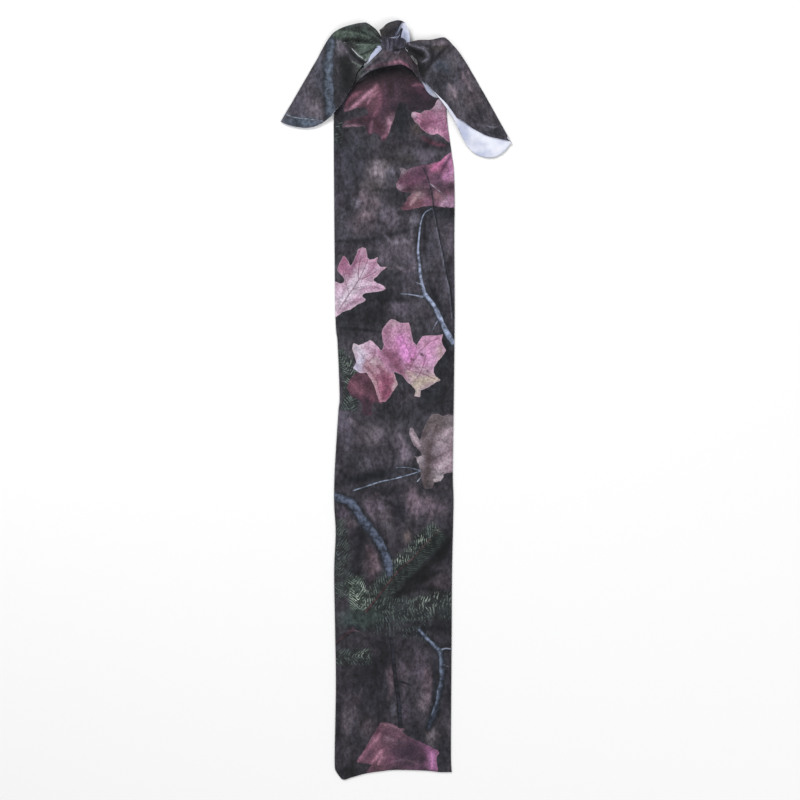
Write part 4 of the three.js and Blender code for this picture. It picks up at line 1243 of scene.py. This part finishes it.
def gathers(grid, centre, count, height, near, far, turn=0.0):
    """Fine folds fanning out from a centre given from the knot, fading between the near and far distances."""
    x, y = (grid[..., 0] - KNOT[0]) / MM - centre[0], (grid[..., 1] - KNOT[1]) / MM - centre[1]
    angle, distance = np.arctan2(y, x), np.hypot(x, y)
    wave = np.sin(angle * count + turn + 1.3 * np.sin(angle * count * 0.37 + 1))
    grid[..., 2] += height * MM * wave * smooth(far, near, distance) * smooth(2, 8, distance)


PRINT_OUT = (PRINTED, WHITE, PRINTED)
RAW_EDGE = (PRINTED, WHITE, WHITE)


# ---------------------------------------------------------------- sleeve
def sleeve_place(x, y):
    """A place given across from the sleeve's left edge and down from the neck's top, in mm."""
    return (SLEEVE_LEFT + x * MM, NECK_TOP - y * MM)


SEWN_EDGE = [
    (3, 62), (0, 78), (-0.5, 126), (1.5, 342), (4.6, 388), (7.3, 458), (5.5, 482),
    (0.7, 560), (0, 604), (2, 644), (0, 695), (1.3, 776), (2.3, 850), (0.7, 950), (3, 966),
]
FOLDED_EDGE = [
    (151, 68), (153, 92), (156, 114), (159, 135), (161.5, 155), (162.5, 195), (162, 250), (162.5, 344),
    (161.5, 450), (160, 560), (161, 604), (159, 695), (158.5, 776), (157.5, 932), (158.5, 966),
]
FRONT_MOUTH = [
    (100, 10), (106, 21), (116, 32), (121, 40), (125.5, 48.5), (132, 54), (138, 56.5), (143, 56),
    (147, 57), (151, 68),
]
BACK_MOUTH = [(100, 10), (108, 20), (122, 30), (134, 41), (147, 55), (151, 68)]
BOTTOM_EDGE = [
    (3, 966), (12, 976), (24, 973), (42, 968), (62, 965), (83, 963), (123, 964), (143, 966),
    (158.5, 966),
]


def sleeve_grid(step, mouth):
    top = [(3, 62), (10, 52), (20, 42), (32, 22), (44, 8), (60, 4), (73, 3), (86, 5)] + mouth
    edges = [[sleeve_place(*p) for p in e] for e in (BOTTOM_EDGE, top, SEWN_EDGE[::-1], FOLDED_EDGE[::-1])]
    return patch(*edges, int(160 / step), int(966 / step))


def sleeve_front():
    flat = sleeve_grid(FRONT_STEP, FRONT_MOUTH)
    u = np.linspace(-1, 1, flat.shape[1])[None]
    x, y = flat[..., 0], flat[..., 1]
    mx, my = (x - SLEEVE_LEFT) / MM, (NECK_TOP - y) / MM
    shape = (1 - np.abs(u) ** 2.6) ** 0.75
    from_bottom = np.linspace(0, 1, flat.shape[0])[:, None] * 966
    closing = np.clip(from_bottom / 55, 0, 1) ** 0.6 * smooth(-30, 55, from_bottom)
    height = (CROWN / MM - 2.6) * closing * (1 - 0.7 * smooth(72, 30, my))
    ripple = 0.42 * waves(mx, my, 11, 110) + 0.16 * waves(mx, my * 0.6, 5, 30)
    pucker = 0.32 * np.sin(my * 0.55 + 2 * np.sin(my * 0.043)) * np.exp(-np.maximum(mx - 1, 0) / 9)
    pucker = pucker * smooth(60, 140, my)
    hang = 0.7 * np.sin(mx * 0.19 + 0.6 * np.sin(my * 0.03)) * smooth(230, 70, my) * smooth(20, 60, my)
    z = FRONT_REST + height * shape + (ripple + hang) * shape * closing + pucker * np.sqrt(shape)
    return cloth_piece("sleeve_front", np.dstack([x, y, np.maximum(z, 1.27) * MM]), PRINT_OUT)


def sleeve_back():
    flat = sleeve_grid(BACK_STEP, BACK_MOUTH)
    x, y = flat[..., 0], flat[..., 1]
    grid = np.dstack([x, y, np.full_like(x, BACK_REST * MM)])
    return cloth_piece("sleeve_back", grid, (WHITE, PRINTED, PRINTED), printed="back", picture=paint_back)


def strip_along(name, edge, width, z, thick, step=3.0):
    """A narrow strip just inside an edge of the sleeve, such as its two turned-in cloth edges."""
    length = sum(math.dist(p, q) for p, q in zip(edge, edge[1:]))
    line = curve([sleeve_place(*p) for p in edge], int(length / step))
    ahead = np.gradient(line, axis=0)
    ahead /= np.linalg.norm(ahead, axis=1, keepdims=True)
    inward = np.stack([-ahead[:, 1], ahead[:, 0]], 1)
    near, far = line + inward * 0.8 * MM, line + inward * (0.8 + width) * MM
    rows = [near + (far - near) * share for share in (0, 0.25, 0.5, 0.75, 1)]
    heights = np.array([z, z + 0.1, z + 0.2, z + 0.2, z + 0.1])[:, None] * MM
    rows = np.array(rows)
    grid = np.dstack([rows[..., 0], rows[..., 1], np.broadcast_to(heights, rows.shape[:2])])
    return cloth_piece(name, grid, (WHITE, WHITE, WHITE), thick * MM, picture=None)


# ---------------------------------------------------------------- ties
def tie_height(x):
    """How high a strap's middle is above the table, in mm: over the neck, then down onto the table."""
    return 2.1 + 9.6 * (1 - smooth(58, 108, np.abs(x)))


def set_heights(grid, lift, roundness, reach=7.0):
    """Give a strap's grid its heights, rounding it down towards both its long edges."""
    x = (grid[..., 0] - KNOT[0]) / MM
    columns = grid.shape[1]
    width = np.linalg.norm(grid[:, -1, :2] - grid[:, 0, :2], axis=1)[:, None] / MM
    u = np.linspace(0, 1, columns)[None]
    edge = np.minimum(u, 1 - u) * width
    round_off = np.sqrt(np.clip(1 - (1 - np.clip(edge / reach, 0, 1)) ** 2, 0, 1))
    near_knot = smooth(34, 12, np.abs(x)) * 4.5
    grid[..., 2] = (tie_height(x) + near_knot + lift + roundness * (round_off - 1)) * MM
    return grid


def left_tie():
    inner = [
        (-8, -1), (-18, -2.5), (-24, -3.5), (-30, -9), (-36, -17), (-40.5, -25), (-47, -30), (-54, -40),
        (-58, -52), (-65, -66), (-73, -80), (-84, -92),
    ]
    outer = [
        (-8, 2), (-18, 6), (-28, 19), (-39, 27), (-44, 28), (-57, 26), (-80, 18), (-92, 6), (-109, -24),
        (-131, -62), (-156, -105),
    ]
    end = [
        (-84, -92), (-88, -97), (-98, -105), (-110, -111), (-122, -113), (-133, -112), (-146, -109),
        (-156, -105),
    ]
    flat = [[(*p, 0) for p in e] for e in ([inner[0], outer[0]], end, inner, outer)]
    top = set_heights(knot_patch(*flat, 84, 150), 1.0, 1.0, 5)
    under_end = [
        (-84, -92), (-90, -98), (-100, -106), (-112, -111), (-124, -113), (-135, -112), (-147, -109),
        (-156, -105),
    ]
    flat[1] = [(*p, 0) for p in under_end]
    under = set_heights(knot_patch(*flat, 50, 150), -1.0, -0.3, 5)
    for layer in (top, under):
        fold_along(layer, [(-25, -3), (-35, -1), (-46, 2), (-58, 4), (-68, 4), (-76, 5)], -4.6, 2.6)
        fold_along(layer, [(-76, 5), (-68, -2), (-61, -8), (-52, -17), (-42, -24)], 5.4, 2.0, 1)
        fold_along(layer, [(-72, 0), (-62, -8), (-52, -17), (-44, -24)], 1.3, 2.6)
        fold_along(layer, [(-78, 8), (-72, 13), (-64, 15), (-56, 11), (-48, 8)], 1.9, 2.6)
        fold_along(layer, [(-68, 12), (-56, 5), (-40, 3)], -1.2, 2.0)
        fold_along(layer, [(-66, -18), (-67, -34), (-68, -52), (-72, -70)], -3.6, 7)
        fold_along(layer, [(-86, -4), (-92, -30), (-96, -60), (-98, -92)], 1.2, 9)
        fold_along(layer, [(-50, 24), (-36, 14), (-22, 4)], 1.2, 2.4)
        fold_along(layer, [(-60, 22), (-44, 13), (-27, 2)], -1.3, 1.8)
        fold_along(layer, [(-74, 17), (-88, 4), (-100, -16)], 1.2, 5)
        gathers(layer, (-15, -1), 26, 0.75, 20, 52)
    x, y = (top[..., 0] - KNOT[0]) / MM, (top[..., 1] - KNOT[1]) / MM
    top[..., 2] += 0.5 * MM * (1 + waves(x, y, 21, 45)) * smooth(50, 75, np.abs(x))
    grid = doubled(top, under[:, ::-1])
    grid[..., 2] = np.maximum(grid[..., 2], 0.75 * MM)
    return cloth_piece("left_tie_cloth", grid, RAW_EDGE, picture=paint_left, top=top)


def right_tie():
    inner = [
        (2, -2), (10, -5), (14, -10), (18, -15), (21.6, -17.4), (27.4, -24), (28, -31), (32, -43),
        (39, -52), (48, -62), (58, -72), (68, -82), (81, -100),
    ]
    outer = [
        (2, 1), (10, 0), (19, 2), (30, 4.5), (46, 5), (62, 8), (68, 5), (74, -1), (85, -14), (97, -33),
        (115, -64), (152, -131),
    ]
    end = [(81, -100), (90, -105), (101, -113), (112, -119), (122, -124), (138, -128), (152, -131)]
    flat = [[(*p, 0) for p in e] for e in ([inner[0], outer[0]], end, inner, outer)]
    top = set_heights(knot_patch(*flat, 84, 150), 1.0, 1.0, 5)
    under_end = [
        (79, -98), (82, -109), (85, -117), (92, -132), (100, -143), (108, -149),
        (117, -152), (127, -153), (136, -151), (146, -144), (154, -134),
    ]
    flat[1] = [(*p, 0) for p in under_end]
    flat[2] = [(*p, 0) for p in inner[:-1] + [(79, -98)]]
    flat[3] = [(*p, 0) for p in outer[:-1] + [(154, -134)]]
    under = set_heights(knot_patch(*flat, 60, 150), -1.0, -0.3, 5)
    for layer in (top, under):
        fold_along(layer, [(12, -1), (18, -3), (26, -5), (36, -8), (41, -14), (40, -21), (34, -26)], 2.2, 2.4)
        fold_along(layer, [(20, -8), (26, -11), (33, -15), (36, -18)], -4.6, 4.2)
        fold_along(layer, [(24, -27), (30, -36), (36, -42)], -3.4, 4.0)
        fold_along(layer, [(69, -4), (62, -9), (54, -19), (45, -30), (40, -38)], -2.4, 3.0)
        fold_along(layer, [(66, 2), (52, -3), (44, -8)], 1.0, 3.4)
        fold_along(layer, [(72, -20), (66, -34), (60, -52)], 1.1, 6)
        fold_along(layer, [(84, -40), (88, -66), (96, -92)], -1.3, 6)
        fold_along(layer, [(98, -50), (108, -78), (122, -104)], 0.9, 7)
        gathers(layer, (7, -2), 24, 0.6, 18, 50, 1)
    x, y = (under[..., 0] - KNOT[0]) / MM, (under[..., 1] - KNOT[1]) / MM
    under[..., 2] += 0.8 * MM * (1 + waves(x, y, 8, 24)) * smooth(-112, -126, y)
    fold_along(under, [(98, -108), (106, -122), (120, -138)], 1.4, 4)
    fold_along(under, [(84, -104), (92, -118), (100, -132)], 1.2, 3.5)
    x, y = (top[..., 0] - KNOT[0]) / MM, (top[..., 1] - KNOT[1]) / MM
    top[..., 2] += 0.5 * MM * (1 + waves(x, y, 23, 45)) * smooth(50, 75, np.abs(x))
    top[-5:, :, 2] += np.linspace(0, 0.8, 5)[:, None] * MM
    grid = doubled(top, under[:, ::-1])
    grid[..., 2] = np.maximum(grid[..., 2], 0.75 * MM)
    return cloth_piece("right_tie_cloth", grid, RAW_EDGE, picture=paint_right, top=top)


# ---------------------------------------------------------------- collar and knot
def collar():
    left = [
        (-17, -3, 17), (-20.5, -8.5, 15.5), (-27, -15.5, 14), (-33.5, -21.5, 12.5), (-39, -27, 11),
        (-45, -33, 9.5),
        (-53, -40, 8), (-59, -50, 6), (-64, -65, 3.5),
    ]
    right = [
        (7, -4, 17), (13, -8, 15), (18, -14.5, 14), (19.4, -18.6, 13), (24.8, -25.8, 11.5),
        (32, -33, 9.5), (35, -42, 7.5), (38, -52, 5),
    ]
    lip = [
        (-64, -65, 3.5), (-54, -51, 7.5), (-42, -40.5, 11), (-30, -34, 13), (-16, -30, 14.3),
        (-3, -28, 14.8), (7, -27, 14.3), (15, -31, 12.8), (22, -36, 10.8), (29, -44, 8), (38, -52, 5),
    ]
    start = [(-17, -3, 17), (-10, -4, 18.5), (-4, -4, 19), (2, -4, 18.5), (7, -4, 17)]
    grid = patch(*(knot_places(e) for e in (start, lip, left, right)), 96, 56)
    fold_along(grid, [(-24, -17), (-36, -27), (-48, -38), (-55, -50)], 1.2, 2.2)
    fold_along(grid, [(-21, -20), (-33, -30), (-46, -42)], -1.0, 1.6)
    fold_along(grid, [(-18, -22), (-30, -31), (-44, -44)], 0.8, 1.8)
    fold_along(grid, [(-1, -7), (0.5, -8.5)], -6.0, 4.2)
    fold_along(grid, [(-6, -9), (-4.5, -12.5), (-1, -14), (3, -12.5), (5, -9)], 1.6, 1.3)
    fold_along(grid, [(12, -14), (18, -26), (26, -38)], 1.0, 1.8)
    gathers(grid, (-4, 4), 30, 0.5, 14, 34)
    folded = turned_under(grid, 1.6 * MM, 14 * MM)
    return cloth_piece("collar_cloth", folded, PRINT_OUT, picture=paint_collar, top=grid)


def turned_edge():
    """The white inside of the left strap's edge, seen in the narrow gap between its ear and the neck."""
    left = [(-16, -1, 12.6), (-24, -2, 12.4), (-31, -8, 11.8), (-38, -16, 10.6), (-44, -25, 9.2)]
    right = [(-14, -8, 12.8), (-24, -18, 12.0), (-32, -25, 10.8), (-38, -30, 9.6), (-44, -35, 8.2)]
    start = [(-16, -1, 12.6), (-14, -8, 12.8)]
    end = [(-44, -25, 9.2), (-44, -35, 8.2)]
    grid = patch(*(knot_places(e) for e in (start, end, left, right)), 12, 40)
    return cloth_piece("strap_inside", grid, (WHITE, PRINTED, WHITE), printed="back", picture=paint_left)


def knot_wrap():
    left = [
        (-18, -9, 13), (-18.5, -3, 17.5), (-17.5, 2.5, 20.5), (-11, 6, 22), (-5, 7, 22.5),
        (-1.8, 8.5, 22.3), (1, 12, 21.5), (4, 16.5, 19.5), (5, 19.5, 17),
    ]
    right = [(3, -6, 16), (5.5, -1, 18.5), (6, 5, 20.5), (6.2, 10, 20.5), (7.4, 15, 18.5), (8.6, 19, 16)]
    start = [(-18, -9, 13), (-13, -11, 14), (-7, -11, 15.5), (-3, -8, 17), (3, -6, 16)]
    end = [(5, 19.5, 17), (7, 20.5, 17), (8.6, 19, 16)]
    grid = patch(*(knot_places(e) for e in (start, end, left, right)), 60, 50)
    u = np.linspace(0, 1, grid.shape[1])[None]
    v = np.linspace(0, 1, grid.shape[0])[:, None]
    pleat = np.sin(u * 2 * math.pi * 6.5 + 1.2 * np.sin(v * 5) + 0.6)
    pleat = 0.75 * pleat * smooth(0, 0.12, v) * smooth(0.85, 0.5, v)
    grid[..., 2] += (2.2 * np.sin(math.pi * u) + pleat) * MM * (1 - 0.5 * v)
    return cloth_piece("knot_wrap_cloth", grid, PRINT_OUT, picture=paint_knot)


def knot_middle():
    """The gathered cloth inside the knot: a flattened tube from one strap's start to the other's."""
    around, along = 40, 30
    t = np.linspace(0, 2 * math.pi, around)[None]
    s = np.linspace(-1, 1, along)[:, None]
    size = np.sqrt(np.clip(1 - 0.8 * s**4, 0, 1)) * (1 + 0.07 * np.sin(t * 11 + 2 * s))
    x = -4 + 17 * s + 0 * t
    y = -1 + 8.6 * size * np.cos(t)
    z = 13.4 + 6.2 * size * np.sin(t)
    grid = knot_places(np.dstack([x, y, z]).reshape(-1, 3)).reshape(along, around, 3)
    return cloth_piece("knot_middle_cloth", grid, PRINT_OUT, picture=paint_knot, top=grid[:, : around // 2])


def loop():
    """The loop standing out above the knot: its dark front, turned over its top into a white-faced back."""
    left = [(-18, 3, 19), (-21, 10, 18), (-23, 17, 14)]
    right = [(-3, 3, 20), (-3.6, 7, 20.8), (-1.8, 12, 20), (1.4, 17, 18), (3.4, 21, 16), (5, 25, 13.5)]
    start = [(-18, 3, 18.5), (-11, 3.5, 20), (-3, 3, 20)]
    end = [
        (-23, 17, 14), (-18, 21, 14.3), (-14, 24.5, 14.4), (-9, 27, 14.6), (-1, 29, 14.4), (3, 28, 14),
        (5, 25, 13.5),
    ]
    front = knot_patch(start, end, left, right, 44, 30)
    u = np.linspace(0, 1, 44)[None]
    v = np.linspace(0, 1, 30)[:, None]
    crown = 2.4 * np.sin(math.pi * u) * np.sin(math.pi * v)
    front[..., 2] += (crown + 0.7 * np.sin(u * 22 + 3 * v) * (1 - v)) * MM
    left = [(-16, 0, 10), (-19, 9, 9.5), (-22, 16, 10.5)]
    right = [(18, 0, 9), (17.5, 11, 9), (15.5, 19, 9.5), (13.5, 24, 10.5)]
    start = [(-16, 0, 10), (0, -2, 11), (18, 0, 9)]
    end = [
        (-22, 16, 10.5), (-17, 20, 10.5), (-13, 23, 10.5), (-8, 25.5, 10.5), (-1, 27, 10.5),
        (6, 26, 10.5), (13.5, 24, 10.5),
    ]
    back = knot_patch(start, end, left, right, 44, 26)
    back[..., 2] += 0.5 * np.sin(u * 14) * MM
    grid = doubled(front.transpose(1, 0, 2), back[::-1].transpose(1, 0, 2)).transpose(1, 0, 2)
    return cloth_piece("loop_cloth", grid, RAW_EDGE, picture=paint_knot, top=front)


front = sleeve_front()
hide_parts("sleeve_front_upper", "sleeve_front_lower")
back = sleeve_back()
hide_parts("sleeve_back_upper", "sleeve_back_lower")
side_seam = strip_along("side_seam_edges", SEWN_EDGE[1:-1], **SEAM)
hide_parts("side_seam_upper", "side_seam_lower")
for piece in (front, back, side_seam):
    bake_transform(piece)
bottom_seam = strip_along("bottom_seam_edges", BOTTOM_EDGE[1:-1], **SEAM)
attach(bottom_seam, "sleeve_lower")
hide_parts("bottom_seam")

collar_cloth = collar()
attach(collar_cloth, "sleeve_upper")
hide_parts("collar_left", "collar_right")
strap_inside = turned_edge()
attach(strap_inside, "sleeve_upper")
wrap = knot_wrap()
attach(wrap, "sleeve_upper")
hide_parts("knot_wrap_left", "knot_wrap_right")
middle = knot_middle()
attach(middle, "sleeve_upper")
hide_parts("knot_core")
loop_cloth = loop()
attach(loop_cloth, "sleeve_upper")
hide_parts("mouth_loop")

left_cloth = left_tie()
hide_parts("left_tie_root", "left_tie_under_layer", "left_tie_top_layer")
right_cloth = right_tie()
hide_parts("right_tie_root", "right_tie_under_layer", "right_tie_top_layer")
for cloth, body, side in ((left_cloth, "left_tie", -1), (right_cloth, "right_tie", 1)):
    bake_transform(cloth)


bpy.context.view_layer.update()
